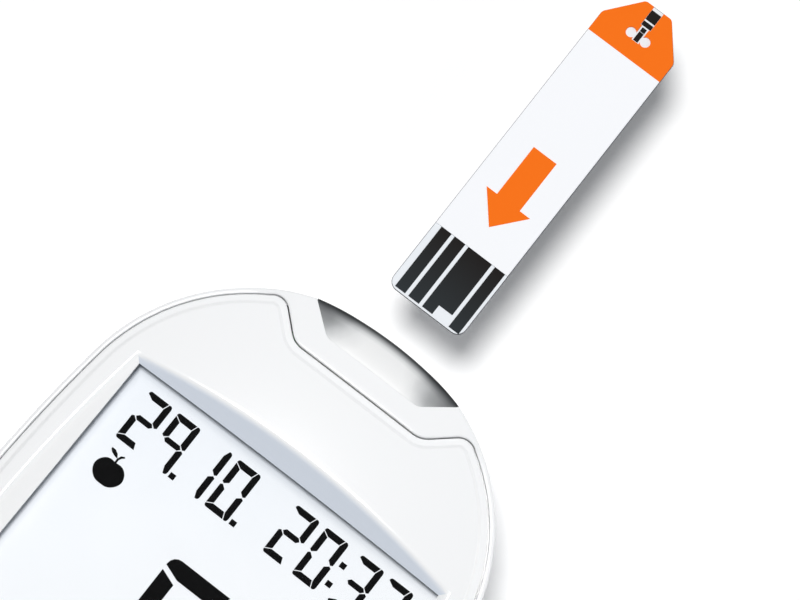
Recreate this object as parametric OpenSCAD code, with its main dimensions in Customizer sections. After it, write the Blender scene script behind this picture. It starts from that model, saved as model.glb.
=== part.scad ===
// Blood glucose meter with a test strip: an oval handheld case in two shells, a large
// display, three buttons, a strip port in the +Y end and a battery door in the -Y end.
// Millimetres. +Z points out of the display, +Y towards the strip port, and the origin is
// in the middle of the case's flat underside, which the rubber feet lift off the table.

/* [Body] */
// Width of the body across the display
body_w = 60; // [58:0.5:64]
// Length of the body from end to end
body_l = 96; // [94:0.5:104]
// Height from the flat underside to the top of the crowned cover
body_h = 21.2; // [20.8:0.2:24]
// Radius of the outline at the two ends
end_r = 50; // [42:1:70]
// Radius of the outline along the two sides
side_r = 220; // [160:5:320]
// Distance from the middle line to the centres of the outline's corner arcs
corner_in = 4; // [3:0.25:7]
// Crown radius of the cover from side to side
crown_rx = 160; // [140:5:240]
// Crown radius of the cover from end to end
crown_ry = 240; // [220:5:400]
// Thickness of the moulded walls
wall = 1.6; // [1.2:0.1:1.8]
// Radius of the edge under the body
base_fillet = 5; // [3.5:0.25:5.5]

/* [Seam] */
// Width of the rear shell's rim that shows beside the cover
rim_w = 0.7; // [0.5:0.05:0.9]
// Width of the dark gap between the two shells
seam_gap = 0.15; // [0.1:0.05:0.25]
// Drop of the rim below the cover's crown
seam_drop = 0.75; // [0.5:0.05:1]
// Width of the lowered band along the cover's edge
edge_w = 1.2; // [0.8:0.1:1.6]
// Drop of the lowered band
edge_drop = 0.35; // [0.2:0.05:0.45]
// Distance from the crown's top down to the ledge that the cover sits on
ledge_drop = 7.5; // [7.1:0.1:8]

/* [Display] */
// Distance from the sides of the body to the window at its top edge
window_side = 6.9; // [6.7:0.1:8]
// Distance from the battery end of the body to the window's bottom edge
window_from_bottom = 30.7; // [29.7:0.1:34]
// Distance from the port end of the body to the window's top edge
window_from_end = 21.3; // [20.8:0.1:24]
// Slope of the window's two sides, in degrees, inwards to the battery end
window_taper = -1; // [-1.5:0.5:3]
// Drop from the crown's top to the face of the window
window_drop = 3.95; // [3.6:0.05:4.1]
// Slope of the bevel around the window, in degrees
bevel_angle = 37; // [30:1:50]
// Thickness of the clear window
lens_t = 1; // [0.8:0.1:1.1]
// Width of the clear window's glued lip
lens_lip = 0.8; // [0.6:0.1:1]
// Thickness of each of the display's two glasses
glass_t = 1; // [0.7:0.1:1.1]
// Air gap between the clear window and the display
lens_gap = 0.85; // [0.7:0.05:1]
// Height of the small digits
digit_h = 7; // [6:0.25:7.5]
// Height of the large digits
big_digit_h = 18; // [14:0.5:19]

/* [Strip port] */
// Distance from the crown's top down to the middle of the strip slot
slot_drop = 7.7; // [7.5:0.05:7.9]
// Height of the slot
slot_h = 0.8; // [0.75:0.05:1]
// Clearance beside the strip in the slot
slot_side_gap = 0.3; // [0.2:0.05:0.5]
// Half width of the silver insert at its inner edge
port_inner_w = 7; // [6.4:0.1:7.5]
// Half width of the silver insert at the rim
port_outer_w = 10.8; // [10.5:0.1:12.5]
// Depth of the silver insert from the end of the body
port_depth = 4.7; // [4.2:0.1:5]
// Half width of the raised nose at its inner edge
nose_inner_w = 9.7; // [9.4:0.1:11]
// Depth of the raised nose from the end of the body
nose_depth = 7.6; // [6.6:0.1:7.8]
// Flare of the nose's two sides, in degrees from the inner edge
nose_flare = 42; // [30:1:44]
// Radius of the scoop above the slot
scoop_r = 7.7; // [7:0.1:9]
// Depth of the scoop at the rim, below the crown's top
scoop_drop = 6.4; // [6.2:0.05:6.5]

/* [Test strip] */
// Width of the test strip
strip_w = 11.3; // [10:0.1:11.6]
// Length of the test strip
strip_l = 48.4; // [44:0.2:52]
// Thickness of the strip's base film
strip_t = 0.35; // [0.3:0.01:0.4]
// Thickness of the films on the strip's base
film_t = 0.2; // [0.15:0.01:0.22]
// Thickness of the printed conductors
ink_t = 0.05; // [0.04:0.01:0.06]
// Distance from the port end of the body to the strip that waits in front of it
strip_gap = 5.6; // [5:0.1:9]
// Depth that the strip goes into the body
strip_insert = 13.2; // [12:0.1:13.4]
// Length of the strip's bare contacts
contact_l = 9.8; // [9:0.1:10.5]
// Length of the orange tip
tip_l = 7.4; // [6.5:0.1:8]

/* [Buttons] */
// Radius of the middle button
main_button_r = 5.5; // [4.5:0.25:6]
// Radius of the two side buttons
side_button_r = 4; // [3.25:0.25:4.25]
// Distance from the battery end of the body to the middle button
main_button_from_end = 15.5; // [14.5:0.25:17]
// Distance from the battery end of the body to the side buttons
side_button_from_end = 18.5; // [18:0.25:20]
// Distance of the side buttons from the middle line
side_button_x = 12; // [11.5:0.25:12.5]
// Height of the buttons above the cover
button_proud = 0.5; // [0.3:0.05:0.8]
// Travel of the buttons
button_travel = 0.6; // [0.4:0.05:0.65]
// Clearance around a button in the cover
button_gap = 0.2; // [0.15:0.01:0.3]
// Thickness of the flange that keeps a button in the cover
flange_t = 0.8; // [0.6:0.05:1]

/* [Battery] */
// Diameter of a coin cell
cell_d = 20; // [19.5:0.1:20.2]
// Thickness of a coin cell
cell_t = 3.2; // [2.5:0.1:3.3]
// Radial clearance of a cell in its pocket
cell_gap = 0.2; // [0.15:0.01:0.3]
// Wall between the two cell pockets
cell_web = 0.6; // [0.5:0.05:1]
// Width of the battery door
door_w = 25; // [24.5:0.1:26]
// Width of the door's two side tongues
tongue_w = 1.3; // [1:0.05:1.4]
// Thickness of the door's tongues
tongue_t = 0.8; // [0.6:0.05:0.9]
// Clearance between the door and the shell
door_gap = 0.15; // [0.1:0.01:0.25]
// Height of the door's end wall
door_end_h = 7; // [6.5:0.1:7.1]

/* [Board] */
// Thickness of the circuit board
board_t = 1; // [0.8:0.1:1.2]
// Distance of the board's edge from the body's outline
board_inset = 4.2; // [3.8:0.1:4.6]

/* [Fasteners and feet] */
// Radius of the screw posts in the rear shell
post_r = 3.3; // [3.2:0.05:3.4]
// Radius of the screw shanks
screw_r = 1; // [0.8:0.05:1.1]
// Radius of the screw heads
screw_head_r = 2.1; // [1.9:0.05:2.15]
// Depth of the screws in the cover's posts
screw_bite = 2.4; // [1.5:0.1:2.8]
// Radius of the rubber feet
foot_r = 3.1; // [2.8:0.05:3.15]
// Height of the feet below the rear shell
foot_h = 0.8; // [0.6:0.05:0.9]
// Depth of the feet's seats in the rear shell
foot_seat = 0.4; // [0.3:0.05:0.5]

/* [Hidden] */
$fn = 96;

// Steps in a full turn of the large, flat arcs.
fine_fn = 480;
eps = 0.01;
half_w = body_w / 2;
half_l = body_l / 2;
corner_r = half_w - corner_in;
floor_z = wall;

// Outline: four corner arcs that run tangent into the end and side arcs.
end_c = [0, half_l - end_r];
side_c = [half_w - side_r, 0];
centre_dir = (side_c - end_c) / norm(side_c - end_c);
centre_reach = ((end_r - corner_r) ^ 2 - (side_r - corner_r) ^ 2
    + norm(side_c - end_c) ^ 2) / (2 * norm(side_c - end_c));
centre_rise = sqrt((end_r - corner_r) ^ 2 - centre_reach ^ 2);
corner_c = end_c + centre_reach * centre_dir + centre_rise * [centre_dir[1], -centre_dir[0]];
end_half_angle = atan2(corner_c[0] - end_c[0], corner_c[1] - end_c[1]);
side_half_angle = atan2(corner_c[1] - side_c[1], corner_c[0] - side_c[0]);
// Each arc of the outline: centre, radius, start and end angle, and number of steps.
ARCS = [
    [side_c, side_r, -side_half_angle, side_half_angle, 6],
    [corner_c, corner_r, side_half_angle, 90 - end_half_angle, 14],
    [end_c, end_r, 90 - end_half_angle, 90 + end_half_angle, 4],
    [[-corner_c[0], corner_c[1]], corner_r, 90 + end_half_angle, 180 - side_half_angle, 14],
    [-side_c, side_r, 180 - side_half_angle, 180 + side_half_angle, 6],
    [-corner_c, corner_r, 180 + side_half_angle, 270 - end_half_angle, 14],
    [-end_c, end_r, 270 - end_half_angle, 270 + end_half_angle, 4],
    [[corner_c[0], -corner_c[1]], corner_r, 270 + end_half_angle, 360 - side_half_angle, 14]
];
fillet_steps = 6;

// Cover, crown and window
rim_top = body_h - seam_drop;
ledge_z = body_h - ledge_drop;
cover_inset = rim_w + seam_gap;
cover_inner = cover_inset + wall;
window_w = body_w - 2 * window_side;
window_top = half_l - window_from_end;
window_bottom = window_from_bottom - half_l;
window_l = window_top - window_bottom;
window_z = body_h - window_drop;
taper_in = window_l * tan(window_taper);
lens_z = window_z - lens_t;
lens_fit = 0.05;
frame_w = 2;
glass_top = lens_z - lens_gap;
glass_mid = glass_top - glass_t;
glass_bottom = glass_mid - glass_t;
gasket_in = 0.2;
gasket_foot = 0.1;
glass_margin = 1.4;
glass_fit = 0.3;
glass_half_w = window_w / 2 + glass_margin;
glass_y1 = window_top + glass_margin;
glass_y0 = window_bottom - glass_margin;
gasket_t = 0.2;
frame_wall = 0.9;
frame_drop = 0.4;
light_t = 1.5;
light_gap = 0.1;
board_top = glass_bottom - light_t - light_gap;
board_z = board_top - board_t;
lcd_shelf = 1.5;
zebra_w = 2.2;
zebra_gap = 0.1;
zebra_y = glass_y0 + 0.4;
zebra_half_l = glass_half_w - 5;
light_half_w = glass_half_w - lcd_shelf - 0.2;
light_y0 = zebra_y + zebra_w + 1.2;
light_y1 = glass_y1 - lcd_shelf - 1.7;
light_fit = 0.2;

// Small and large digits on the display
ink_z = glass_top;
ink_h = 0.06;
cell_w = digit_h * 0.5;
cell_pitch = digit_h * 0.636;
stroke = digit_h * 0.12;
digits_from_top = 1.65;
date_from_side = 2.95;
digits_y = window_top - digits_from_top - digit_h;
date_x = -window_w / 2 + date_from_side;
time_x = 2.75;
pair_step = 2 * cell_pitch + digit_h * 0.11;
dot = digit_h * 0.11;
big_w = big_digit_h * 0.6;
big_pitch = big_digit_h * 0.74;
big_stroke = big_digit_h * 0.13;
big_x = -5.4;
big_from_top = 15.7;
big_y = window_top - big_from_top - big_digit_h;
fruit_r = 1.9;
fruit_from_side = 5.1;
fruit_drop = 4.1;
fruit = [-window_w / 2 + fruit_from_side, digits_y - fruit_drop];
// Segments a to g of each figure from 0 to 9
FIGURES = [
    "abcdef", "bc", "abged", "abgcd", "fgbc", "afgcd", "afgedc", "abc", "abcdefg", "abcfg"
];

// Port
port_y = half_l - port_depth;
nose_y = half_l - nose_depth;
port_z = board_top;
port_fit = 0.05;
port_rise = 3;
port_spread = 1.8;
port_corner_r = 2;
nose_corner_r = 3;
sharp_r = 0.2;
corner_steps = 5;
slot_z = body_h - slot_drop;
slot_z0 = slot_z - slot_h / 2;
slot_half_w = strip_w / 2 + slot_side_gap;
// The scoop's arc runs from the crown near the insert's inner edge to the rim.
scoop_start = [port_y + 0.2, body_h - port_y ^ 2 / (2 * crown_ry)];
scoop_chord = [half_l, body_h - scoop_drop] - scoop_start;
scoop_c = scoop_start + scoop_chord / 2
    + sqrt(scoop_r ^ 2 - (norm(scoop_chord) / 2) ^ 2)
    * [-scoop_chord[1], scoop_chord[0]] / norm(scoop_chord);
scoop_flat = 4;
scoop_end_r = 16;
mouth_flare = 0.5;
mouth_depth = 1.2;

// Parts under the board: [x, y] of the centre and [width, length, height]
processor_at = [-9, 18];
processor_size = [10, 10, 1.4];
memory_at = [5, 20];
memory_size = [5, 4, 1.1];
crystal_at = [-9, 8.5];
crystal_size = [7, 2.2, 2];
capacitor_at = [5, 13];
capacitor_size = [1.25, 2, 1];
capacitor_count = 5;
capacitor_pitch = 2.5;
buzzer_from_side = 12;
buzzer_at = [buzzer_from_side - half_w, 4];
buzzer_r = 4.5;
buzzer_h = 3;
buzzer_hole_r = 0.8;
switch_w = 4.5;
switch_r = 1.5;

// Connector behind the port
connector_wall = 2.2;
connector_half_w = slot_half_w + connector_wall;
connector_y1 = port_y - 0.7;
connector_y0 = half_l - strip_insert - 1.5;
connector_top = slot_z0 + slot_h + 1.3;
connector_back = 1.2;
spring_top = connector_top - 0.4;
spring_y0 = connector_y0 + connector_back;
spring_y1 = connector_y1 - 1;
spring_count = 5;
spring_pitch = 2;
spring_w = 0.8;
spring_t = 0.2;
spring_slot_gap = 0.15;
spring_gap = 0.1;

// Strip: it waits in front of the port, in line with the slot
strip_y = half_l + strip_gap;
strip_z = slot_z - (strip_t + film_t) / 2;
film_z = strip_z + strip_t;
tip_taper = 4.4;
tip_half = 2;
fill_slit = [0.5, 3];
film_inset = 0.05;
strip_corner = 1.3;
bar_edges = [[-4.7, -3.15], [-2.65, -1], [-0.5, 3.15], [3.65, 5.2]];
bar_start = 0.35;
notch = [1.1, 3.3, 1.4];
arrow_y = 13.3;
arrow_head = 3.95;
arrow_tail = 11.5;
arrow_half_head = 3.4;
arrow_half_shaft = 1.78;

// Buttons: [x, y, radius]
main_at = [0, main_button_from_end - half_l];
left_at = [-side_button_x, side_button_from_end - half_l];
right_at = [side_button_x, side_button_from_end - half_l];
BUTTONS = [
    [main_at, main_button_r], [left_at, side_button_r], [right_at, side_button_r]
];
button_lip = 0.8;
flange_gap = 0.15;
switch_h = 0.6;
stem_r = 1.8;
stem_gap = 0.1;
stem_z = board_top + switch_h + button_travel + stem_gap;
symbol_t = 0.08;
ring_share = [0.42, 0.3];
arrow_share = 0.5;

// Battery bay and door
tongue_z = floor_z + door_gap;
channel_z = tongue_z + tongue_t + door_gap;
cell_z = floor_z + 0.4;
leaf_t = 0.2;
leaf_space = 0.5;
pocket_z = cell_z + cell_t + leaf_space;
bay_top = pocket_z + 1;
pocket_r = cell_d / 2 + cell_gap;
bay_wall = 1;
end_space = 1.7;
bay_y0 = -half_l + wall + end_space;
rear_cell_y = bay_y0 + bay_wall + pocket_r;
front_cell_y = rear_cell_y + 2 * pocket_r + cell_web;
bay_y1 = front_cell_y + pocket_r + bay_wall + 0.2;
bay_side = 2.2;
bay_half_w = pocket_r + bay_side;
door_half_w = door_w / 2;
tongue_half_w = door_half_w + tongue_w;
rail_w = 1;
door_shoulder = 0.8;
rail_half_w = tongue_half_w + door_gap + rail_w;
rail_t = 1.2;
door_y1 = bay_y1 - 0.4;
door_end_half_w = tongue_half_w + door_shoulder;
door_end_l = 11;
door_end_y = -half_l + door_end_l;
grip_count = 5;
grip_pitch = 1.8;
grip_depth = 0.4;
grip_from_edge = 12;
tongue_overlap = 1.3;
tongue_start = door_end_y - 2;
leaf_w = 4;
leaf_back = 5;
tail_w = 1.5;
tail_t = 0.4;
tail_gap = 0.2;
side_leaf_t = 0.3;
side_leaf_gap = 0.05;
side_leaf_rise = 0.6;
side_slot = side_leaf_t + tail_gap;
cell_rim = 1.6;
cell_step = 0.3;

// Screw posts and feet: the front pair beside the connector, the rear pair beside the bay
front_post_side = 13.5;
front_post_end = 15.5;
rear_post_side = 10;
rear_post_end = 23.5;
front_post = [half_w - front_post_side, half_l - front_post_end];
rear_post = [half_w - rear_post_side, rear_post_end - half_l];
POSTS = [
    front_post, [-front_post[0], front_post[1]], rear_post, [-rear_post[0], rear_post[1]]
];
cover_post_r = 2.4;
screw_head_h = 1.4;
screw_seat_z = 5.2;
screw_l = board_top - screw_seat_z + screw_bite;
screw_gap = 0.05;
head_gap = 0.15;
board_hole_gap = 0.3;

// ---------------------------------------------------------------- shared shapes

// Points of the body's outline, moved in by inset.
function outline(inset) = [
    for (arc = ARCS, i = [0:arc[4] - 1])
        let (turn = arc[2] + (arc[3] - arc[2]) * i / arc[4])
            arc[0] + (arc[1] - inset) * [cos(turn), sin(turn)]
];

// The body's outline as a solid from z0 to z1, with a round lower edge if it has a fillet.
module oval(inset, z0, z1, fillet = 0) {
    if (fillet > 0)
        stack(concat(
            [for (i = [0:fillet_steps]) [
                inset + fillet * (1 - sin(90 * i / fillet_steps)),
                z0 + fillet * (1 - cos(90 * i / fillet_steps))
            ]],
            [[inset, z1]]
        ));
    else
        slab(z0, z1) polygon(outline(inset));
}

// A closed skin over a stack of outlines, each given as [inset, height].
module stack(levels) {
    n = len(outline(0));
    top = len(levels) - 1;
    polyhedron(
        points = [for (level = levels, p = outline(level[0])) [p[0], p[1], level[1]]],
        faces = concat(
            [[for (i = [0:n - 1]) i]],
            [[for (i = [0:n - 1]) top * n + n - 1 - i]],
            [for (k = [0:top - 1], i = [0:n - 1]) [
                k * n + i, (k + 1) * n + i, (k + 1) * n + (i + 1) % n, k * n + (i + 1) % n
            ]]
        )
    );
}

// Everything under a crowned surface whose highest point is at z = top.
module crown(top) {
    depth = 40;
    half_angle = asin((half_l + 8) / crown_ry);
    translate([0, 0, top - crown_ry])
        rotate([0, -90, 0])
            rotate([0, 0, -half_angle])
                rotate_extrude(angle = 2 * half_angle, $fn = 2 * fine_fn)
                    intersection() {
                        translate([crown_ry - crown_rx, 0]) circle(crown_rx, $fn = 2 * fine_fn);
                        translate([crown_ry - depth, -body_w]) square([depth + 1, 2 * body_w]);
                    }
}

// The window's corners, moved out by grow on every side.
function window_corners(grow) = let (
        top_half = window_w / 2 + grow * (1 + tan(window_taper)),
        bottom_half = window_w / 2 - taper_in + grow * (1 - tan(window_taper))
    ) [
        [-top_half, window_top + grow], [-bottom_half, window_bottom - grow],
        [bottom_half, window_bottom - grow], [top_half, window_top + grow]
    ];

module window_plan(grow) {
    polygon(window_corners(grow));
}

module slab(z0, z1) {
    translate([0, 0, z0]) linear_extrude(height = z1 - z0) children();
}

// A polygon's corners with each one rounded to its own radius.
function rounded(corners, radii) = [
    for (i = [0:len(corners) - 1])
        let (
            p = corners[i],
            a = corners[(i + len(corners) - 1) % len(corners)] - p,
            b = corners[(i + 1) % len(corners)] - p,
            to_a = a / norm(a),
            to_b = b / norm(b),
            half = acos(to_a * to_b) / 2,
            centre = p + (to_a + to_b) / norm(to_a + to_b) * radii[i] / sin(half),
            from = p + to_a * radii[i] / tan(half) - centre,
            to = p + to_b * radii[i] / tan(half) - centre,
            start = atan2(from[1], from[0]),
            turn = (atan2(to[1], to[0]) - start + 540) % 360 - 180
        )
            for (k = [0:corner_steps])
                centre + radii[i]
                    * [cos(start + turn * k / corner_steps), sin(start + turn * k / corner_steps)]
];

// The raised nose at the port end, grown by grow.
module nose_plan(grow) {
    side_run = nose_depth + 2;
    out = nose_inner_w + grow + side_run / tan(nose_flare);
    polygon(rounded([
        [-nose_inner_w - grow, nose_y - grow], [nose_inner_w + grow, nose_y - grow],
        [out, half_l + 2 - grow], [-out, half_l + 2 - grow]
    ], [nose_corner_r + grow, nose_corner_r + grow, sharp_r, sharp_r]));
}

// The silver insert at the port, grown by grow.
module port_plan(grow) {
    polygon(rounded([
        [-port_inner_w - grow, port_y - grow], [port_inner_w + grow, port_y - grow],
        [port_outer_w + grow, port_y + port_rise], [port_outer_w + port_spread + grow, half_l + 2],
        [-port_outer_w - port_spread - grow, half_l + 2], [-port_outer_w - grow, port_y + port_rise]
    ], [port_corner_r, port_corner_r, sharp_r, sharp_r, sharp_r, sharp_r]));
}

module box(x0, x1, y0, y1, z0, z1) {
    translate([x0, y0, z0]) cube([x1 - x0, y1 - y0, z1 - z0]);
}

// A box that is centred on x = 0.
module mid_box(half_x, y0, y1, z0, z1) {
    box(-half_x, half_x, y0, y1, z0, z1);
}

module rod(at, r, z0, z1) {
    translate([at[0], at[1], z0]) cylinder(r = r, h = z1 - z0);
}

// ---------------------------------------------------------------- shells

module door_opening(gap) {
    mid_box(door_half_w + gap, -half_l - 5, door_y1 + gap, -1, floor_z + gap);
    mid_box(door_end_half_w + gap, -half_l - 5, door_end_y, floor_z - gap,
        door_end_h + gap);
}

// The block that holds the two cells, with the rails for the door's tongues.
module battery_bay() {
    difference() {
        union() {
            mid_box(bay_half_w, bay_y0, bay_y1, channel_z, bay_top);
            mid_box(rail_half_w, bay_y0, bay_y1, channel_z, channel_z + rail_t);
            for (side = [-1, 1])
                translate([side * (rail_half_w - rail_w / 2), 0, 0])
                    mid_box(rail_w / 2, bay_y0, bay_y1, floor_z - eps, channel_z + rail_t);
        }
        for (y = [rear_cell_y, front_cell_y]) {
            rod([0, y], pocket_r, -1, pocket_z);
            // slots for the tails of the two contacts
            mid_box(tail_w / 2 + tail_gap, y + leaf_w, y + leaf_w + tail_t + 2 * tail_gap,
                pocket_z - eps, bay_top + 1);
            box(pocket_r - side_slot, pocket_r + side_slot, y - leaf_w / 2 - tail_gap,
                y + leaf_w / 2 + tail_gap, pocket_z - cell_t, bay_top + 1);
        }
    }
}

module rear_housing() {
    color("white")
        difference() {
            union() {
                difference() {
                    intersection() {
                        oval(0, 0, body_h, base_fillet);
                        crown(rim_top);
                    }
                    oval(wall, floor_z, body_h + 1, base_fillet - wall);
                    oval(rim_w, ledge_z, body_h + 1);
                }
                nose();
                battery_bay();
                for (p = POSTS) rod(p, post_r, floor_z - eps, board_z);
            }
            door_opening(door_gap);
            port_pocket();
            for (p = POSTS) {
                rod(p, foot_r + port_fit, -1, foot_seat);
                rod(p, screw_head_r + head_gap, -1, screw_seat_z);
                rod(p, screw_r + board_hole_gap, 0, board_z + 1);
            }
        }
}

// The nose stands up through the cover's notch, in line with the crown.
module nose() {
    difference() {
        intersection() {
            oval(0, ledge_z, body_h);
            crown(body_h);
            slab(ledge_z, body_h) nose_plan(0);
        }
        intersection() {
            oval(wall, ledge_z - 1, body_h);
            crown(body_h - wall);
        }
    }
}

module port_pocket() {
    slab(port_z - port_fit, body_h + 1) port_plan(port_fit);
}

module front_cover() {
    color("white")
        difference() {
            union() {
                difference() {
                    cover_skin();
                    intersection() {
                        oval(cover_inner, ledge_z - 1, body_h);
                        crown(body_h - wall);
                    }
                }
                // frame that carries the clear window
                intersection() {
                    cover_skin();
                    slab(glass_top + gasket_t, body_h) window_plan(frame_w);
                }
                for (p = POSTS)
                    intersection() {
                        rod(p, cover_post_r, board_top, body_h);
                        crown(body_h - wall / 2);
                    }
            }
            slab(ledge_z - 1, body_h + 1) nose_plan(seam_gap);
            slab(0, body_h + 1) window_plan(lens_fit);
            slab(0, lens_z + lens_t / 2 + lens_fit) window_plan(lens_lip + lens_fit);
            window_bevel();
            for (b = BUTTONS) rod(b[0], b[1] + button_gap, 0, body_h + 1);
            for (p = POSTS) rod(p, screw_r + screw_gap, 0, screw_seat_z + screw_l + 0.5);
        }
}

module cover_skin() {
    intersection() {
        oval(cover_inset, ledge_z, body_h);
        crown(body_h - edge_drop);
    }
    intersection() {
        oval(cover_inset + edge_w, ledge_z, body_h);
        crown(body_h);
    }
}

// A four-sided funnel from the window's edge up to the crown.
module window_bevel() {
    grow = window_drop / tan(bevel_angle);
    polyhedron(
        points = concat(
            [for (p = window_corners(lens_fit)) [p[0], p[1], window_z]],
            [for (p = window_corners(grow)) [p[0], p[1], body_h]]
        ),
        faces = [
            [0, 1, 2, 3], [7, 6, 5, 4], [0, 4, 5, 1], [1, 5, 6, 2], [2, 6, 7, 3], [3, 7, 4, 0]
        ]
    );
}

module battery_door() {
    color("white")
        difference() {
            union() {
                difference() {
                    intersection() {
                        oval(0, 0, body_h, base_fillet);
                        union() {
                            mid_box(door_half_w, -half_l - 1, door_y1, -1, floor_z);
                            mid_box(door_end_half_w, -half_l - 1, door_end_y, floor_z,
                                door_end_h);
                        }
                    }
                    oval(wall, floor_z, body_h, base_fillet - wall);
                }
                for (side = [-1, 1]) mirror([side < 0 ? 1 : 0, 0, 0]) {
                    box(door_half_w - tongue_overlap, tongue_half_w, tongue_start, door_y1,
                        tongue_z, tongue_z + tongue_t);
                    box(door_half_w - tongue_overlap, door_half_w, tongue_start, door_y1,
                        floor_z - eps, tongue_z + eps);
                }
            }
            for (i = [0:grip_count - 1])
                translate([0, door_y1 - grip_from_edge + i * grip_pitch, 0])
                    mid_box(door_half_w / 2, 0, grip_pitch / 2, -1, grip_depth);
        }
}

module port_insert() {
    color("silver")
        difference() {
            intersection() {
                oval(0, port_z, body_h);
                crown(body_h);
                slab(port_z, body_h) port_plan(0);
            }
            scoop();
            mid_box(slot_half_w, 0, body_l, slot_z0, slot_z0 + slot_h);
            mid_box(slot_half_w + mouth_flare, half_l - mouth_depth, body_l,
                slot_z0 - mouth_flare, slot_z0 + slot_h + mouth_flare);
        }
}

// The hollow that guides a finger and the strip to the slot: an arc, turned up at its ends.
module scoop() {
    axis_z = body_h - scoop_drop + scoop_end_r;
    translate([0, scoop_c[0], scoop_c[1]])
        rotate([0, 90, 0])
            cylinder(r = scoop_r, h = 2 * scoop_flat, center = true);
    for (side = [-1, 1])
        translate([side * scoop_flat, scoop_c[0], axis_z])
            rotate([90, 0, 0])
                rotate_extrude()
                    translate([axis_z - scoop_c[1], 0]) circle(scoop_r);
}

// ---------------------------------------------------------------- display

module display_window() {
    color("white", 0.4) {
        slab(lens_z + lens_t / 2, window_z) window_plan(0);
        slab(lens_z, lens_z + lens_t / 2) window_plan(lens_lip);
    }
}

module window_gasket() {
    color("black")
        difference() {
            slab(glass_top, glass_top + gasket_t) window_plan(glass_margin - gasket_foot);
            slab(0, body_h) window_plan(-gasket_in);
        }
}

module glass_box(y0, z0, z1) {
    intersection() {
        mid_box(glass_half_w, y0, glass_y1, z0, z1);
        oval(cover_inner + glass_fit, z0 - 1, z1 + 1);
    }
}

module lcd_upper_glass() {
    color("lightsteelblue") glass_box(glass_y0, glass_mid, glass_top);
}

module lcd_lower_glass() {
    color("aliceblue") glass_box(glass_y0 + lcd_shelf + zebra_w, glass_bottom, glass_mid);
}

// One seven-segment figure with its lower left corner at [x, y].
module figure(value, x, y, w, h, s) {
    gap = s * 0.14;
    half = h / 2;
    // each segment: start, end, and the side that its ends are cut towards
    segments = [
        ["a", [0, h], [w, h]], ["b", [w, h], [w, half]], ["c", [w, half], [w, 0]],
        ["d", [0, 0], [w, 0]], ["e", [0, half], [0, 0]], ["f", [0, h], [0, half]],
        ["g", [0, half], [w, half]]
    ];
    for (seg = segments)
        if (len(search(seg[0], FIGURES[value])) > 0)
            translate([x, y])
                bar(seg[1], seg[2], [w / 2, (seg[1][1] + seg[2][1]) / 2], s, gap, [w, h]);
}

// A bar from p to q with pointed ends, moved inwards so that its outer side is on the
// figure's edge.
module bar(p, q, middle, s, gap, size) {
    along = (q - p) / norm(q - p);
    across = [-along[1], along[0]];
    inward = [
        p[0] == q[0] ? sign(size[0] / 2 - p[0]) : 0,
        p[1] == q[1] ? sign(size[1] / 2 - p[1]) : 0
    ];
    shift = inward * s / 2;
    a = p + shift + along * (gap + (inward[1] != 0 || p[1] == q[1] ? s / 2 : 0)
        + (p[0] == q[0] && p[1] != size[1] / 2 ? s / 2 : 0));
    b = q + shift - along * (gap + (p[1] == q[1] ? s / 2 : 0)
        + (p[0] == q[0] && q[1] != size[1] / 2 ? s / 2 : 0));
    polygon([
        a, a + (along + across) * s / 2, b + (across - along) * s / 2,
        b, b - (across + along) * s / 2, a + (along - across) * s / 2
    ]);
}

module lcd_digits() {
    color("black")
        slab(ink_z, ink_z + ink_h) {
            row([2, 9], date_x);
            row([1, 0], date_x + pair_step);
            row([2, 0], time_x);
            row([3, 7], time_x + pair_step);
            for (x = [date_x + pair_step, date_x + 2 * pair_step])
                translate([x - cell_pitch + cell_w + 0.3, digits_y]) square(dot);
            for (y = [0.28, 0.68])
                translate([time_x + pair_step - cell_pitch + cell_w + 0.2, digits_y + digit_h * y])
                    square(dot);
            figure(9, big_x, big_y, big_w, big_digit_h, big_stroke);
            figure(8, big_x + big_pitch, big_y, big_w, big_digit_h, big_stroke);
            translate(fruit) circle(fruit_r);
            translate(fruit + [-0.2, fruit_r + 0.1]) square([0.4, 0.8]);
        }
}

module row(values, x) {
    for (i = [0:len(values) - 1])
        figure(values[i], x + i * cell_pitch, digits_y, cell_w, digit_h, stroke);
}

module lcd_frame() {
    color("gainsboro")
        difference() {
            intersection() {
                mid_box(glass_half_w + frame_wall, glass_y0 - frame_wall,
                    glass_y1 + frame_wall, board_top, glass_top - frame_drop);
                oval(cover_inner + glass_fit - eps, 0, body_h);
            }
            intersection() {
                mid_box(glass_half_w + lens_fit, glass_y0 - lens_fit, glass_y1 + lens_fit,
                    glass_bottom, body_h);
                oval(cover_inner + glass_fit - eps, 0, body_h);
            }
            mid_box(light_half_w + light_fit, light_y0 - light_fit, light_y1 + light_fit,
                0, body_h);
            mid_box(zebra_half_l + zebra_gap, zebra_y - zebra_gap,
                zebra_y + zebra_w + zebra_gap, 0, body_h);
        }
}

module light_guide() {
    color("white")
        mid_box(light_half_w, light_y0, light_y1, board_top, board_top + light_t);
}

module zebra_strip() {
    color("hotpink")
        mid_box(zebra_half_l, zebra_y, zebra_y + zebra_w, board_top, glass_mid);
}

// ---------------------------------------------------------------- circuit board

module main_board() {
    color("darkgreen")
        difference() {
            oval(board_inset, board_z, board_top);
            for (p = POSTS) rod(p, screw_r + board_hole_gap, 0, body_h);
        }
}

// A part under the board, centred on at.
module under_board(at, size) {
    translate([at[0] - size[0] / 2, at[1] - size[1] / 2, board_z - size[2]]) cube(size);
}

module processor_chip() {
    color("dimgray") under_board(processor_at, processor_size);
}

module memory_chip() {
    color("dimgray") under_board(memory_at, memory_size);
}

module clock_crystal() {
    color("silver") under_board(crystal_at, crystal_size);
}

module board_capacitors() {
    color("tan")
        for (i = [0:capacitor_count - 1])
            under_board(capacitor_at + [i * capacitor_pitch, 0], capacitor_size);
}

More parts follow.
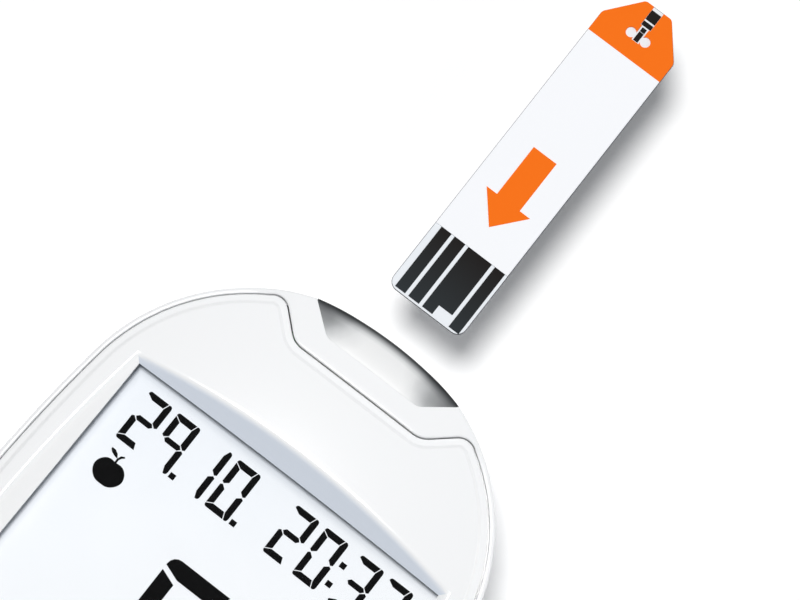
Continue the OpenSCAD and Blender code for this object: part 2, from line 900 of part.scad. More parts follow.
module buzzer() {
    color("black")
        difference() {
            rod(buzzer_at, buzzer_r, board_z - buzzer_h, board_z);
            rod(buzzer_at, buzzer_hole_r, board_z - buzzer_h - 1, board_z - buzzer_h / 2);
        }
}

module tact_switches() {
    color("silver")
        for (b = BUTTONS) {
            translate([b[0][0] - switch_w / 2, b[0][1] - switch_w / 2, board_top])
                cube([switch_w, switch_w, switch_h / 2]);
            rod(b[0], switch_r, board_top, board_top + switch_h);
        }
}

module strip_connector() {
    color("ivory")
        difference() {
            mid_box(connector_half_w, connector_y0, connector_y1, board_top, connector_top);
            mid_box(slot_half_w, spring_y0, body_l, slot_z0, slot_z0 + slot_h);
            for (i = [0:spring_count - 1])
                translate([spring_x(i), 0, 0])
                    mid_box(spring_w / 2 + spring_slot_gap, spring_y0, spring_y1, slot_z,
                        spring_top);
        }
}

function spring_x(i) = (i - (spring_count - 1) / 2) * spring_pitch;

// Leaf springs over the slot, bent down in the middle to touch the strip's contacts.
module connector_springs() {
    low = film_z + ink_t + spring_gap;
    mid = (spring_y0 + spring_y1) / 2;
    bend = 1.5;
    color("gold")
        for (i = [0:spring_count - 1])
            translate([spring_x(i) - spring_w / 2, 0, 0])
                rotate([90, 0, 90])
                    linear_extrude(height = spring_w)
                        polygon([
                            [spring_y0, spring_top], [spring_y0, spring_top - spring_t],
                            [mid - bend, spring_top - spring_t], [mid, low],
                            [mid + bend, low + bend / 3], [mid + bend, low + bend / 3 + spring_t],
                            [mid, low + spring_t], [mid - bend + spring_t, spring_top]
                        ]);
}

// ---------------------------------------------------------------- power

module coin_cell(y) {
    color("lightgray") {
        rod([0, y], cell_d / 2, cell_z, cell_z + cell_t - cell_step);
        rod([0, y], cell_d / 2 - cell_rim, cell_z, cell_z + cell_t);
    }
}

module front_cell() {
    coin_cell(front_cell_y);
}

module rear_cell() {
    coin_cell(rear_cell_y);
}

module negative_contacts() {
    z = cell_z + cell_t;
    color("gold")
        for (y = [rear_cell_y, front_cell_y]) {
            mid_box(leaf_w / 2, y - leaf_back, y + leaf_w + tail_gap + tail_t, z, z + leaf_t);
            mid_box(tail_w / 2, y + leaf_w + tail_gap, y + leaf_w + tail_gap + tail_t, z, board_z);
        }
}

module positive_contacts() {
    x = cell_d / 2 + side_leaf_gap;
    color("gold")
        for (y = [rear_cell_y, front_cell_y])
            box(x, x + side_leaf_t, y - leaf_w / 2, y + leaf_w / 2, cell_z + side_leaf_rise,
                board_z);
}

// ---------------------------------------------------------------- buttons

module button(at, r) {
    flange_z = button_flange_z(at, r);
    intersection() {
        union() {
            rod(at, r, flange_z, body_h + 2);
            rod(at, r + button_lip, flange_z, flange_z + flange_t);
            rod(at, stem_r, stem_z, flange_z + flange_t);
        }
        crown(body_h + button_proud);
    }
}

// How far the crown has fallen at a point.
function crown_fall(at) = crown_rx - sqrt(crown_rx ^ 2 - at[0] ^ 2)
    + crown_ry - sqrt(crown_ry ^ 2 - at[1] ^ 2);
// The flange lies just under the lowest point of the cover's inside around the button.
function button_flange_z(at, r) = body_h - wall - flange_gap - flange_t
    - crown_fall([abs(at[0]) + (r + button_lip) * 0.8, abs(at[1]) + r + button_lip]);

module main_button() {
    color("whitesmoke") button(main_at, main_button_r);
}

module left_button() {
    color("whitesmoke") button(left_at, side_button_r);
}

module right_button() {
    color("whitesmoke") button(right_at, side_button_r);
}

// A thin print on the crowned top of a button.
module symbol(at) {
    color("slategray")
        intersection() {
            difference() {
                crown(body_h + button_proud + symbol_t);
                crown(body_h + button_proud);
            }
            translate([at[0], at[1], 0]) slab(0, body_h + 2) children();
        }
}

module main_symbol() {
    symbol(main_at)
        difference() {
            circle(main_button_r * ring_share[0]);
            circle(main_button_r * ring_share[1]);
        }
}

module left_symbol() {
    symbol(left_at) mirror([1, 0]) circle(r = side_button_r * arrow_share, $fn = 3);
}

module right_symbol() {
    symbol(right_at) circle(r = side_button_r * arrow_share, $fn = 3);
}

// ---------------------------------------------------------------- fasteners and feet

module housing_screws() {
    color("silver")
        for (p = POSTS) {
            rod(p, screw_head_r, screw_seat_z - screw_head_h, screw_seat_z);
            rod(p, screw_r, screw_seat_z - eps, screw_seat_z + screw_l);
        }
}

module rubber_feet() {
    color("gray")
        for (p = POSTS) rod(p, foot_r, -foot_h, foot_seat);
}

// ---------------------------------------------------------------- test strip

// The strip's outline between two distances from its inner end, narrowed by inset.
module strip_plan(inset, from, to) {
    w = strip_w / 2 - inset;
    intersection() {
        polygon([
            [-w, strip_corner], [-w + strip_corner, inset], [w - strip_corner, inset],
            [w, strip_corner], [w, strip_l - tip_taper], [tip_half, strip_l - inset],
            [-tip_half, strip_l - inset], [-w, strip_l - tip_taper]
        ]);
        translate([-strip_w, from]) square([2 * strip_w, to - from]);
    }
}

module on_strip(z0, z1) {
    translate([0, strip_y, 0]) slab(z0, z1) children();
}

module strip_base() {
    color("lightblue") on_strip(strip_z, film_z) strip_plan(0, 0, strip_l);
}

module strip_electrodes() {
    color("black")
        on_strip(film_z, film_z + ink_t) {
            for (edges = bar_edges)
                difference() {
                    translate([edges[0], bar_start])
                        square([edges[1] - edges[0], contact_l - bar_start]);
                    translate([notch[0], 0]) square([notch[1] - notch[0], bar_start + notch[2]]);
                }
        }
}

module strip_cover_film() {
    color("white")
        on_strip(film_z, film_z + film_t) strip_plan(film_inset, contact_l, strip_l - tip_l);
}

module strip_tip() {
    color("darkorange")
        on_strip(film_z, film_z + film_t)
            difference() {
                strip_plan(film_inset, strip_l - tip_l, strip_l);
                translate([-fill_slit[0], strip_l - fill_slit[1]])
                    square([2 * fill_slit[0], fill_slit[1] + 1]);
            }
}

module strip_arrow() {
    color("darkorange")
        on_strip(film_z + film_t, film_z + film_t + ink_t)
            polygon([
                [0, arrow_y], [arrow_half_head, arrow_y + arrow_head],
                [arrow_half_shaft, arrow_y + arrow_head],
                [arrow_half_shaft, arrow_y + arrow_tail],
                [-arrow_half_shaft, arrow_y + arrow_tail],
                [-arrow_half_shaft, arrow_y + arrow_head],
                [-arrow_half_head, arrow_y + arrow_head]
            ]);
}

rear_housing();
front_cover();
port_insert();
display_window();
window_gasket();
lcd_upper_glass();
lcd_lower_glass();
lcd_digits();
lcd_frame();
light_guide();
zebra_strip();
main_board();
processor_chip();
memory_chip();
clock_crystal();
board_capacitors();
buzzer();
tact_switches();
strip_connector();
connector_springs();
front_cell();
rear_cell();
negative_contacts();
positive_contacts();
battery_door();
housing_screws();
rubber_feet();
main_button();
main_symbol();
left_button();
left_symbol();
right_button();
right_symbol();
strip_base();
strip_electrodes();
strip_cover_film();
strip_tip();
strip_arrow();
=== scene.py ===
import math

import bpy
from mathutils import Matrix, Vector


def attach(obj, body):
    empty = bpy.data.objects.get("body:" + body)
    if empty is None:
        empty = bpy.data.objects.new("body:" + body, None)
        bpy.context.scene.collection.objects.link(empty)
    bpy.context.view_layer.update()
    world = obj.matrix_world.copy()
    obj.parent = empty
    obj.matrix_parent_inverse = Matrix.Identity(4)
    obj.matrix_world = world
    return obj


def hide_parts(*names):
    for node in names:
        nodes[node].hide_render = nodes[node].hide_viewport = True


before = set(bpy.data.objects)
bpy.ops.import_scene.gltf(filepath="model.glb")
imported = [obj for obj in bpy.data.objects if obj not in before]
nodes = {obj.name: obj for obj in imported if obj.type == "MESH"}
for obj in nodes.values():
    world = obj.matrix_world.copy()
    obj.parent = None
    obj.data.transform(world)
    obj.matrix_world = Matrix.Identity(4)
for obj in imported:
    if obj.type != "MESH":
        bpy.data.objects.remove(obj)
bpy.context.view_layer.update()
mm = 0.001

# ---------------------------------------------------------------- rear shell
# The lower half of the case, injection moulded in white ABS with a satin skin. Its rim runs
# round the front cover and widens at the strip port into the nose that holds the insert.

case_top = 21.2
half_w, half_l = 30.0, 48.0
end_r, side_r, corner_r = 50.0, 220.0, 26.0
crown_rx, crown_ry = 160.0, 240.0
wall = 1.6
base_fillet = 5.0
ledge_z = 13.7
rim_w = 0.7
rim_drop = 0.75
nose_y, nose_half, nose_flare, nose_corner_r = 40.4, 9.7, math.radians(42), 3.0
horn_r = 2.2
nose_steps, rim_steps = 64, 168
bay_half, bay_y0, bay_y1, bay_z0, bay_z1 = 12.4, -44.7, -1.1, 2.7, 6.7
rail_in, rail_out, rail_z0, rail_z1 = 13.95, 14.95, 1.5, 3.9
cell_ys, cell_r = (-33.5, -12.5), 10.2
posts = [(16.5, 32.5), (-16.5, 32.5), (20, -24.5), (-20, -24.5)]
post_r, post_top, foot_r, screw_head_r, screw_r = 3.3, 10.8, 3.15, 2.25, 1.3
shell_white = (0.925, 0.93, 0.94)


def crown(x, y, drop=0.0):
    """Height of the crowned face of the case at a point."""
    side = crown_ry - crown_rx + math.sqrt(crown_rx ** 2 - x * x)
    return case_top - crown_ry + math.sqrt(side * side - y * y) - drop


def smooth(t):
    t = min(max(t, 0.0), 1.0)
    return t * t * (3 - 2 * t)


def outline_arcs():
    """The arcs of the case's outline from the battery end round the right side to the port
    end: centre, radius, start angle, end angle."""
    end_c, side_c = Vector((0, half_l - end_r)), Vector((half_w - side_r, 0))
    apart = side_c - end_c
    reach = ((end_r - corner_r) ** 2 - (side_r - corner_r) ** 2 + apart.length_squared) / (
        2 * apart.length)
    rise = math.sqrt((end_r - corner_r) ** 2 - reach ** 2)
    way = apart.normalized()
    c = end_c + reach * way + rise * Vector((way.y, -way.x))
    end_turn = math.atan2(c.x - end_c.x, c.y - end_c.y)
    side_turn = math.atan2(c.y - side_c.y, c.x - side_c.x)
    quarter = math.pi / 2
    return [
        (-end_c, end_r, -quarter, -quarter + end_turn),
        (Vector((c.x, -c.y)), corner_r, -quarter + end_turn, -side_turn),
        (side_c, side_r, -side_turn, side_turn),
        (c, corner_r, side_turn, quarter - end_turn),
        (end_c, end_r, quarter - end_turn, quarter),
    ]


arcs = outline_arcs()
half_round = sum(r * (b - a) for _, r, a, b in arcs)


def on_outline(run, inset=0.0):
    """The point at a distance along the outline from the battery end, and the way out."""
    for centre, r, a, b in arcs:
        if run <= r * (b - a) + 1e-9 or centre is arcs[-1][0]:
            turn = a + run / r
            out = Vector((math.cos(turn), math.sin(turn)))
            return centre + (r - inset) * out, out
        run -= r * (b - a)


def turned(corner, back, on, r, steps):
    """Points of a round corner between two straight runs, given as unit directions."""
    half = back.angle(on) / 2
    centre = corner + (back + on).normalized() * (r / math.sin(half))
    start = corner + back * (r / math.tan(half)) - centre
    swing = math.pi - 2 * half
    if start.x * on.y - start.y * on.x < 0:
        swing = -swing
    return [centre + Vector((start.x * math.cos(swing * k / steps)
                             - start.y * math.sin(swing * k / steps),
                             start.x * math.sin(swing * k / steps)
                             + start.y * math.cos(swing * k / steps)))
            for k in range(steps + 1)]


def respaced(points, count):
    """A path's points, moved to even distances along it."""
    runs = [0.0]
    for a, b in zip(points, points[1:]):
        runs.append(runs[-1] + (b - a).length)
    made, k = [], 0
    for i in range(count):
        want = runs[-1] * i / (count - 1)
        while k < len(runs) - 2 and runs[k + 1] < want:
            k += 1
        share = (want - runs[k]) / (runs[k + 1] - runs[k])
        made.append(points[k].lerp(points[k + 1], share))
    return made


def run_until(low, high, before):
    """The distance along the outline up to which a test holds."""
    for _ in range(60):
        run = (low + high) / 2
        if before(run):
            low = run
        else:
            high = run
    return run


def flipped(points):
    """Points mirrored on the middle line."""
    return [Vector((-p.x, p.y)) for p in points]


def seam_paths():
    """The case's outline and the seam beside it, point for point round the whole case, with
    the way out of the seam, and how far each point has gone into the nose."""
    side = Vector((-math.cos(nose_flare), -math.sin(nose_flare)))

    def before_nose(run):
        p = on_outline(run, rim_w)[0]
        return p.y - nose_y < math.tan(nose_flare) * (p.x - nose_half)

    run = run_until(half_round * 0.7, half_round, before_nose)
    horn, out = on_outline(run, rim_w)
    back = Vector((out.y, -out.x))
    reach = horn_r / math.tan(back.angle(side) / 2)
    horn_run = run - reach
    path = turned(horn, back, side, horn_r, 40)
    path += turned(Vector((nose_half, nose_y)), -side, Vector((-1, 0)), nose_corner_r, 40)
    path += [Vector((0, nose_y))]
    nose = respaced(path, nose_steps)
    nose_run = sum((b - a).length for a, b in zip(nose, nose[1:]))
    outer, seam, depth = [], [], []
    for i in range(rim_steps):
        run = horn_run * i / rim_steps
        outer.append(on_outline(run))
        seam.append(on_outline(run, rim_w)[0])
        depth.append(run - horn_run)
    for i, p in enumerate(nose):
        share = i / (nose_steps - 1)
        outer.append(on_outline(horn_run + (half_round - horn_run) * share))
        seam.append(p)
        depth.append(nose_run * share)
    outer += [tuple(flipped(pair)) for pair in outer[-2:0:-1]]
    seam += flipped(seam[-2:0:-1])
    depth += depth[-2:0:-1]
    ways = []
    for i, p in enumerate(seam):
        before, after = p - seam[i - 1], seam[(i + 1) % len(seam)] - p
        along = (before * (after.length / before.length)
                 + after * (before.length / after.length))
        ways.append(Vector((along.y, -along.x)).normalized())
    return outer, seam, ways, depth


outer, seam, seam_way, nose_depth = seam_paths()


def named(piece, name):
    piece.name = piece.data.name = name
    return piece


def wrapped(name, rings, close=True):
    """A grid whose rows are laid on closed rings of points, in millimetres."""
    count = len(rings[0])
    bpy.ops.object.select_all(action="DESELECT")
    bpy.ops.mesh.primitive_grid_add(x_subdivisions=count, y_subdivisions=len(rings) - 1)
    piece = named(bpy.context.object, name)
    places = [c * mm for ring in rings for p in list(ring) + list(ring[:1]) for c in p]
    piece.data.vertices.foreach_set("co", places)
    bpy.ops.object.mode_set(mode="EDIT")
    bpy.ops.mesh.select_all(action="SELECT")
    bpy.ops.mesh.remove_doubles(threshold=0.002 * mm)
    if close:
        bpy.ops.mesh.fill_holes(sides=0)
        bpy.ops.mesh.select_all(action="SELECT")
    bpy.ops.mesh.normals_make_consistent(inside=False)
    bpy.ops.object.mode_set(mode="OBJECT")
    return piece


def only(piece):
    bpy.ops.object.select_all(action="DESELECT")
    bpy.context.view_layer.objects.active = piece
    piece.select_set(True)


def apply_all(piece):
    only(piece)
    for fitting in list(piece.modifiers):
        bpy.ops.object.modifier_apply(modifier=fitting.name)


def joined(piece, cutter, how="DIFFERENCE"):
    """Cuts one solid out of another, or joins the two, and clears the second away."""
    fitting = piece.modifiers.new(how.lower(), "BOOLEAN")
    fitting.operation, fitting.solver, fitting.object = how, "EXACT", cutter
    apply_all(piece)
    bpy.data.meshes.remove(cutter.data)


def block(x0, x1, y0, y1, z0, z1):
    bpy.ops.object.select_all(action="DESELECT")
    bpy.ops.mesh.primitive_cube_add(
        size=mm, location=((x0 + x1) / 2 * mm, (y0 + y1) / 2 * mm, (z0 + z1) / 2 * mm),
        scale=(x1 - x0, y1 - y0, z1 - z0))
    bpy.ops.object.transform_apply()
    return bpy.context.object


def rod(x, y, r, z0, z1, sides=64):
    bpy.ops.object.select_all(action="DESELECT")
    bpy.ops.mesh.primitive_cylinder_add(
        vertices=sides, radius=r * mm, depth=(z1 - z0) * mm,
        location=(x * mm, y * mm, (z0 + z1) / 2 * mm))
    bpy.ops.object.transform_apply()
    return bpy.context.object


def softened(piece, angle=40):
    only(piece)
    bpy.ops.object.shade_smooth_by_angle(angle=math.radians(angle))
    return piece


def stamped(name, points, z0, z1):
    """A flat piece cut to a closed line of points and given its thickness."""
    bpy.ops.object.select_all(action="DESELECT")
    bpy.ops.mesh.primitive_circle_add(vertices=len(points), fill_type="NGON")
    piece = named(bpy.context.object, name)
    piece.data.vertices.foreach_set(
        "co", [c * mm for p in points for c in (p[0], p[1], z0)])
    bpy.ops.object.mode_set(mode="EDIT")
    bpy.ops.mesh.select_all(action="SELECT")
    bpy.ops.mesh.extrude_region_move(TRANSFORM_OT_translate={"value": (0, 0, (z1 - z0) * mm)})
    bpy.ops.mesh.select_all(action="SELECT")
    bpy.ops.mesh.normals_make_consistent(inside=False)
    bpy.ops.object.mode_set(mode="OBJECT")
    return piece


def rear_rings():
    """The rings of the rear shell, from the underside out, up, over the rim and down inside."""
    count = len(outer)
    blend = [smooth((d + 4.0) / 7.0) for d in nose_depth]
    drops = [rim_drop * (1 - b) for b in blend]
    rings = []

    def ring(make):
        rings.append([make(i) for i in range(count)])

    def inside(i, inset):
        return outer[i][0] - outer[i][1] * inset

    fillet_steps, edge_r, seam_r = 10, 0.4, 0.28
    for k in range(fillet_steps + 1):
        turn = math.pi / 2 * k / fillet_steps
        ring(lambda i: (*inside(i, base_fillet * (1 - math.sin(turn))),
                        base_fillet * (1 - math.cos(turn))))
    for k in range(6):
        turn = math.pi / 2 * k / 5

        def rounded_edge(i):
            p = inside(i, edge_r)
            q = inside(i, edge_r * (1 - math.cos(turn)))
            return (*q, crown(p.x, p.y, drops[i]) - edge_r * (1 - math.sin(turn)))
        ring(rounded_edge)
    for k in range(1, 13):
        def across(i):
            q = inside(i, edge_r).lerp(seam[i] + seam_way[i] * seam_r, k / 12)
            return (*q, crown(q.x, q.y, drops[i]))
        ring(across)
    for k in range(1, 7):
        turn = math.pi / 2 * k / 6

        def seam_edge(i):
            q = seam[i] + seam_way[i] * seam_r * (1 - math.sin(turn))
            return (*q, crown(q.x, q.y, drops[i]) - seam_r * (1 - math.cos(turn)))
        ring(seam_edge)

    def shelf(i):
        return ledge_z + (crown(*seam[i], wall) - ledge_z) * smooth(nose_depth[i] / 2.0)
    ring(lambda i: (*seam[i], shelf(i)))
    ring(lambda i: (*inside(i, wall), shelf(i)))
    for k in range(fillet_steps + 1):
        turn = math.pi / 2 * (1 - k / fillet_steps)
        ring(lambda i: (*inside(i, wall + (base_fillet - wall) * (1 - math.sin(turn))),
                        wall + (base_fillet - wall) * (1 - math.cos(turn))))
    return rings


port_x, port_y, port_dx, port_dy = 10.8, 46.3, 1.8, 3.7


def port_plan(grow):
    """The right half of the insert's outline, from its inner edge to beyond the rim."""
    corners = [Vector((0, 43.3 - grow)), Vector((7.0 + grow, 43.3 - grow)),
               Vector((port_x + grow, port_y)), Vector((port_x + port_dx + grow, 50.0))]
    back, on = (corners[0] - corners[1]).normalized(), (corners[2] - corners[1]).normalized()
    return corners[:1] + turned(corners[1], back, on, 2.0, 8) + corners[2:]


def rounded_plan(corners, radii, steps=6):
    """A closed outline with each of its corners rounded to its own radius."""
    plan = []
    for k, (corner, r) in enumerate(zip(corners, radii)):
        here = Vector(corner)
        back = (Vector(corners[k - 1]) - here).normalized()
        on = (Vector(corners[(k + 1) % len(corners)]) - here).normalized()
        plan += turned(here, back, on, r, steps) if r else [here]
    return plan


def mirrored(half):
    """A closed outline from its right half, which starts and ends on the middle line."""
    return half + flipped([p for p in half[::-1] if p.x > 1e-6])


rear = wrapped("rear_shell", rear_rings())
joined(rear, stamped("port_pocket", mirrored(port_plan(0.01)), 11.75, 25))
bay = block(-bay_half, bay_half, bay_y0, bay_y1, bay_z0, bay_z1)
joined(bay, block(-rail_out, rail_out, bay_y0, bay_y1, bay_z0, rail_z1), "UNION")
for side in (-1, 1):
    x = sorted((side * rail_in, side * rail_out))
    joined(bay, block(*x, bay_y0, bay_y1, rail_z0, rail_z1), "UNION")
for y in cell_ys:
    joined(bay, rod(0, y, cell_r, -1, 5.7, 96))
joined(rear, bay, "UNION")
for x, y in posts:
    joined(rear, rod(x, y, post_r, 1.5, post_top), "UNION")
joined(rear, block(-12.65, 12.65, -60, -1.35, -2, 1.75))
joined(rear, block(-14.75, 14.75, -60, -37, 1.45, 7.15))
for x, y in posts:
    for r, z0, z1 in ((foot_r, -1, 0.4), (screw_head_r, 0.3, 5.2), (screw_r, 5, 12)):
        joined(rear, rod(x, y, r, z0, z1))
named(rear, "rear_shell")
softened(rear, 38)


def feed(tree, socket, given):
    """Gives a node's input a value of its own, or links another node's output to it."""
    if isinstance(given, bpy.types.NodeSocket):
        tree.links.new(given, socket)
    else:
        socket.default_value = given


def worked(tree, operation, *given):
    """The outcome of one sum."""
    node = tree.nodes.new("ShaderNodeMath")
    node.operation = operation
    for socket, value in zip(node.inputs, given):
        feed(tree, socket, value)
    return node.outputs[0]


def laid(tree, under, over, share=1.0, how="MIX"):
    """A colour laid over another one, as far as a share from 0 to 1 says."""
    mix = tree.nodes.new("ShaderNodeMix")
    mix.data_type, mix.blend_type = "RGBA", how
    for socket, given in (("Factor", share), ("A", under), ("B", over)):
        feed(tree, mix.inputs[socket], given)
    return mix.outputs["Result"]


def moulded_skin():
    """Shared effect: fine grain, faint colour drift and handling haze of a moulded surface."""
    group = bpy.data.node_groups.new("moulded_skin", "ShaderNodeTree")
    for name, kind, value in (
            ("Colour", "NodeSocketColor", (0.8, 0.8, 0.8, 1)),
            ("Drift Colour", "NodeSocketColor", (0.7, 0.7, 0.7, 1)),
            ("Drift", "NodeSocketFloat", 0.1), ("Roughness", "NodeSocketFloat", 0.4),
            ("Haze", "NodeSocketFloat", 0.05), ("Grain Size", "NodeSocketFloat", 3000.0)):
        group.interface.new_socket(name, in_out="INPUT", socket_type=kind).default_value = value
    for name, kind in (("Colour", "NodeSocketColor"), ("Roughness", "NodeSocketFloat"),
                       ("Height", "NodeSocketFloat")):
        group.interface.new_socket(name, in_out="OUTPUT", socket_type=kind)
    add, link = group.nodes.new, group.links.new
    given, made = add("NodeGroupInput"), add("NodeGroupOutput")
    place = add("ShaderNodeTexCoord")
    slow, grain = add("ShaderNodeTexNoise"), add("ShaderNodeTexNoise")
    slow.inputs["Scale"].default_value, slow.inputs["Detail"].default_value = 60, 3
    grain.inputs["Detail"].default_value = 2
    link(place.outputs["Object"], slow.inputs["Vector"])
    link(place.outputs["Object"], grain.inputs["Vector"])
    link(given.outputs["Grain Size"], grain.inputs["Scale"])
    share = worked(group, "MULTIPLY", slow.outputs["Fac"], given.outputs["Drift"])
    haze = worked(group, "MULTIPLY_ADD", slow.outputs["Fac"], given.outputs["Haze"],
                  given.outputs["Roughness"])
    link(laid(group, given.outputs["Colour"], given.outputs["Drift Colour"], share),
         made.inputs["Colour"])
    link(haze, made.inputs["Roughness"])
    link(grain.outputs["Fac"], made.inputs["Height"])
    return group


skin = moulded_skin()


def finish(name, colour, drift_colour, rough, drift=0.3, haze=0.08, grain=2500.0, bump=0.1,
           **settings):
    """A material with the moulded skin, and any further values of its shader by name."""
    stuff = bpy.data.materials.new(name)
    stuff.use_nodes = True
    tree = stuff.node_tree
    shader = tree.nodes["Principled BSDF"]
    effect = tree.nodes.new("ShaderNodeGroup")
    effect.node_tree = skin
    relief = tree.nodes.new("ShaderNodeBump")
    effect.inputs["Colour"].default_value = (*colour, 1)
    effect.inputs["Drift Colour"].default_value = (*drift_colour, 1)
    for socket, value in (("Drift", drift), ("Roughness", rough), ("Haze", haze),
                          ("Grain Size", grain)):
        effect.inputs[socket].default_value = value
    relief.inputs["Strength"].default_value = bump
    relief.inputs["Distance"].default_value = 0.02 * mm
    tree.links.new(effect.outputs["Colour"], shader.inputs["Base Color"])
    tree.links.new(effect.outputs["Roughness"], shader.inputs["Roughness"])
    tree.links.new(effect.outputs["Height"], relief.inputs["Height"])
    tree.links.new(relief.outputs["Normal"], shader.inputs["Normal"])
    for socket, value in settings.items():
        shader.inputs[socket.replace("_", " ")].default_value = value
    return stuff


def dress(piece, stuff):
    piece.data.materials.clear()
    piece.data.materials.append(stuff)


def fit(piece, body, slot, *stands_for):
    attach(piece, body)
    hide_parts(*stands_for)


white_shell = finish("white_abs", shell_white, (0.905, 0.915, 0.93), 0.16, drift=0.2, haze=0.015,
                     bump=0.05)
dress(rear, white_shell)
fit(rear, "housing", "shell_white", "rear_housing")

# ---------------------------------------------------------------- front cover
# The upper half of the case, white ABS like the rear shell. A soft step runs round it beside
# the seam, and a flat bevel leads down to the window on all four sides.

seam_gap, rim_gap = 0.15, 0.21
band_in, band_out, band_drop = 1.3, 0.75, 0.3
window_top, window_bottom, window_half = 26.7, -17.3, 23.1
window_taper = math.tan(math.radians(-1))
window_bow = 0.3
window_z = 17.25
bevel_rise = math.tan(math.radians(37))
bevel_round = 0.45
lip_z, frame_foot = 16.85, 15.6
buttons = [(0.0, -32.5, 5.5), (-12.0, -29.5, 4.0), (12.0, -29.5, 4.0)]
button_gap = 0.2


def window_corners(grow):
    """The window's corners, moved out by grow on every side, counterclockwise."""
    taper_in = (window_top - window_bottom) * window_taper
    top, low = (window_half + grow * (1 + window_taper),
                window_half - taper_in + grow * (1 - window_taper))
    return [Vector((low, window_bottom - grow)), Vector((top, window_top + grow)),
            Vector((-top, window_top + grow)), Vector((-low, window_bottom - grow))]


def on_window(k, share, grow):
    """A point along the window's edge k, whose upper one, 1, is bowed towards the port."""
    corners = window_corners(grow)
    bow = 4 * share * (1 - share) * window_bow if k == 1 else 0.0
    return corners[k].lerp(corners[(k + 1) % 4], share) + Vector((0, bow))


def beyond_window(x, y):
    """How far outside the window a point lies, square to the nearest edge's line."""
    slope = math.sqrt(1 + window_taper ** 2)
    side = (abs(x) - window_half - (y - window_top) * window_taper) / slope
    bow = window_bow * max(1 - (x / window_half) ** 2, 0.0)
    return max(side, y - window_top - bow, window_bottom - y)


def cover_z(x, y, drop=0.0):
    """Height of the cover's face: the crown, rounded over into the bevel round the window."""
    a = crown(x, y, drop)
    b = window_z + beyond_window(x, y) * bevel_rise
    near = max(bevel_round - abs(a - b), 0.0)
    return min(a, b) - near * near / (4 * bevel_round)


def window_shares():
    """For each point of the seam: the window edge that it faces, and how far along it."""
    middle = Vector((0, 4.7))
    corners = window_corners(0.0)
    made = []
    for p in seam:
        way = p - middle
        for k in range(4):
            a, b = corners[k], corners[(k + 1) % 4]
            along = b - a
            cross = way.x * along.y - way.y * along.x
            if abs(cross) < 1e-12:
                continue
            off = a - middle
            t = (off.x * along.y - off.y * along.x) / cross
            u = (off.x * way.y - off.y * way.x) / cross
            if t > 0 and -1e-9 <= u < 1 - 1e-9:
                made.append([k, max(u, 0.0)])
                break
    for k in range(4):
        spot = min(range(len(made)), key=lambda i: abs(
            made[i][1] - (0 if made[i][0] == k else 1))
            if made[i][0] in (k, (k + 3) % 4) else 9)
        made[spot] = [k, 0.0]
    return made


def cover_rings():
    """The rings of the cover, from the window's foot out to the seam and back underneath."""
    shares = window_shares()
    count = len(seam)
    gaps = [rim_gap + (seam_gap - rim_gap) * smooth((d + 4.0) / 7.0) for d in nose_depth]
    edge = [seam[i] - seam_way[i] * gaps[i] for i in range(count)]
    rings = []

    def ring(make):
        rings.append([make(i) for i in range(count)])

    def at_window(i, grow):
        return on_window(*shares[i], grow)

    def from_edge(i, inset):
        return edge[i] - seam_way[i] * inset

    def fallen(t):
        return band_drop * (1 - smooth((t - band_out) / (band_in - band_out)))

    for grow in (0.0, 0.08, 0.2, 0.4, 0.6, 0.8, 1.0):
        ring(lambda i: (*at_window(i, grow), cover_z(*at_window(i, grow))))
    fan = 56
    for k in range(1, fan):
        def fanned(i):
            q = at_window(i, 1.0).lerp(from_edge(i, 1.6), (k / fan) ** 1.45)
            return (*q, cover_z(*q))
        ring(fanned)
    for t in (1.6, 1.48, 1.38, 1.3, 1.24, 1.18, 1.12, 1.06, 1.0, 0.94, 0.88, 0.81, 0.73,
              0.6, 0.45, 0.3):
        ring(lambda i: (*from_edge(i, t), cover_z(*from_edge(i, t), fallen(t))))
    edge_r = 0.2
    for k in range(5):
        turn = math.pi / 2 * k / 4

        def rounded_edge(i):
            q = from_edge(i, edge_r * (1 - math.sin(turn)))
            return (*q, crown(*q, fallen(edge_r)) - edge_r * (1 - math.cos(turn)))
        ring(rounded_edge)
    ring(lambda i: (*edge[i], ledge_z))
    ring(lambda i: (*from_edge(i, wall), ledge_z))
    ring(lambda i: (*from_edge(i, wall), crown(*from_edge(i, wall), wall + band_drop)))
    for k in range(1, 9):
        def under(i):
            q = from_edge(i, wall).lerp(at_window(i, 2.0), k / 8)
            return (*q, min(crown(*q, wall + band_drop), cover_z(*q) - 0.8))
        ring(under)
    ring(lambda i: (*at_window(i, 2.0), frame_foot))
    ring(lambda i: (*at_window(i, 0.85), frame_foot))
    ring(lambda i: (*at_window(i, 0.85), lip_z))
    ring(lambda i: (*at_window(i, 0.0), lip_z))
    rings.append(rings[0])
    return rings


def circle(x, y, r, sides):
    return [(x + r * math.cos(math.tau * k / sides), y + r * math.sin(math.tau * k / sides))
            for k in range(sides)]


def button_well(x, y, r):
    """A cutter for a button's hole, flared at the cover's face so that the edge is rounded."""
    sides, soft, foot = 96, 0.3, 9.0
    rings = [[(*p, foot) for p in circle(x, y, r, sides)]]

    def ring(reach, rise):
        rings.append([(*p, crown(*p) + rise) for p in circle(x, y, reach, sides)])
    for k in range(6):
        turn = math.radians(70) * k / 5
        ring(r + soft * (1 - math.cos(turn)), -soft * (1 - math.sin(turn)))
    ring(r + soft * 1.6, soft * 1.2)
    return wrapped("button_well", rings)


cover = wrapped("cover_shell", cover_rings(), close=False)
for x, y, r in buttons:
    joined(cover, button_well(x, y, r + button_gap))
softened(named(cover, "cover_shell"), 35)


def skin_of(stuff):
    """The node of a material that holds its moulded skin."""
    return next(n for n in stuff.node_tree.nodes if n.type == "GROUP")


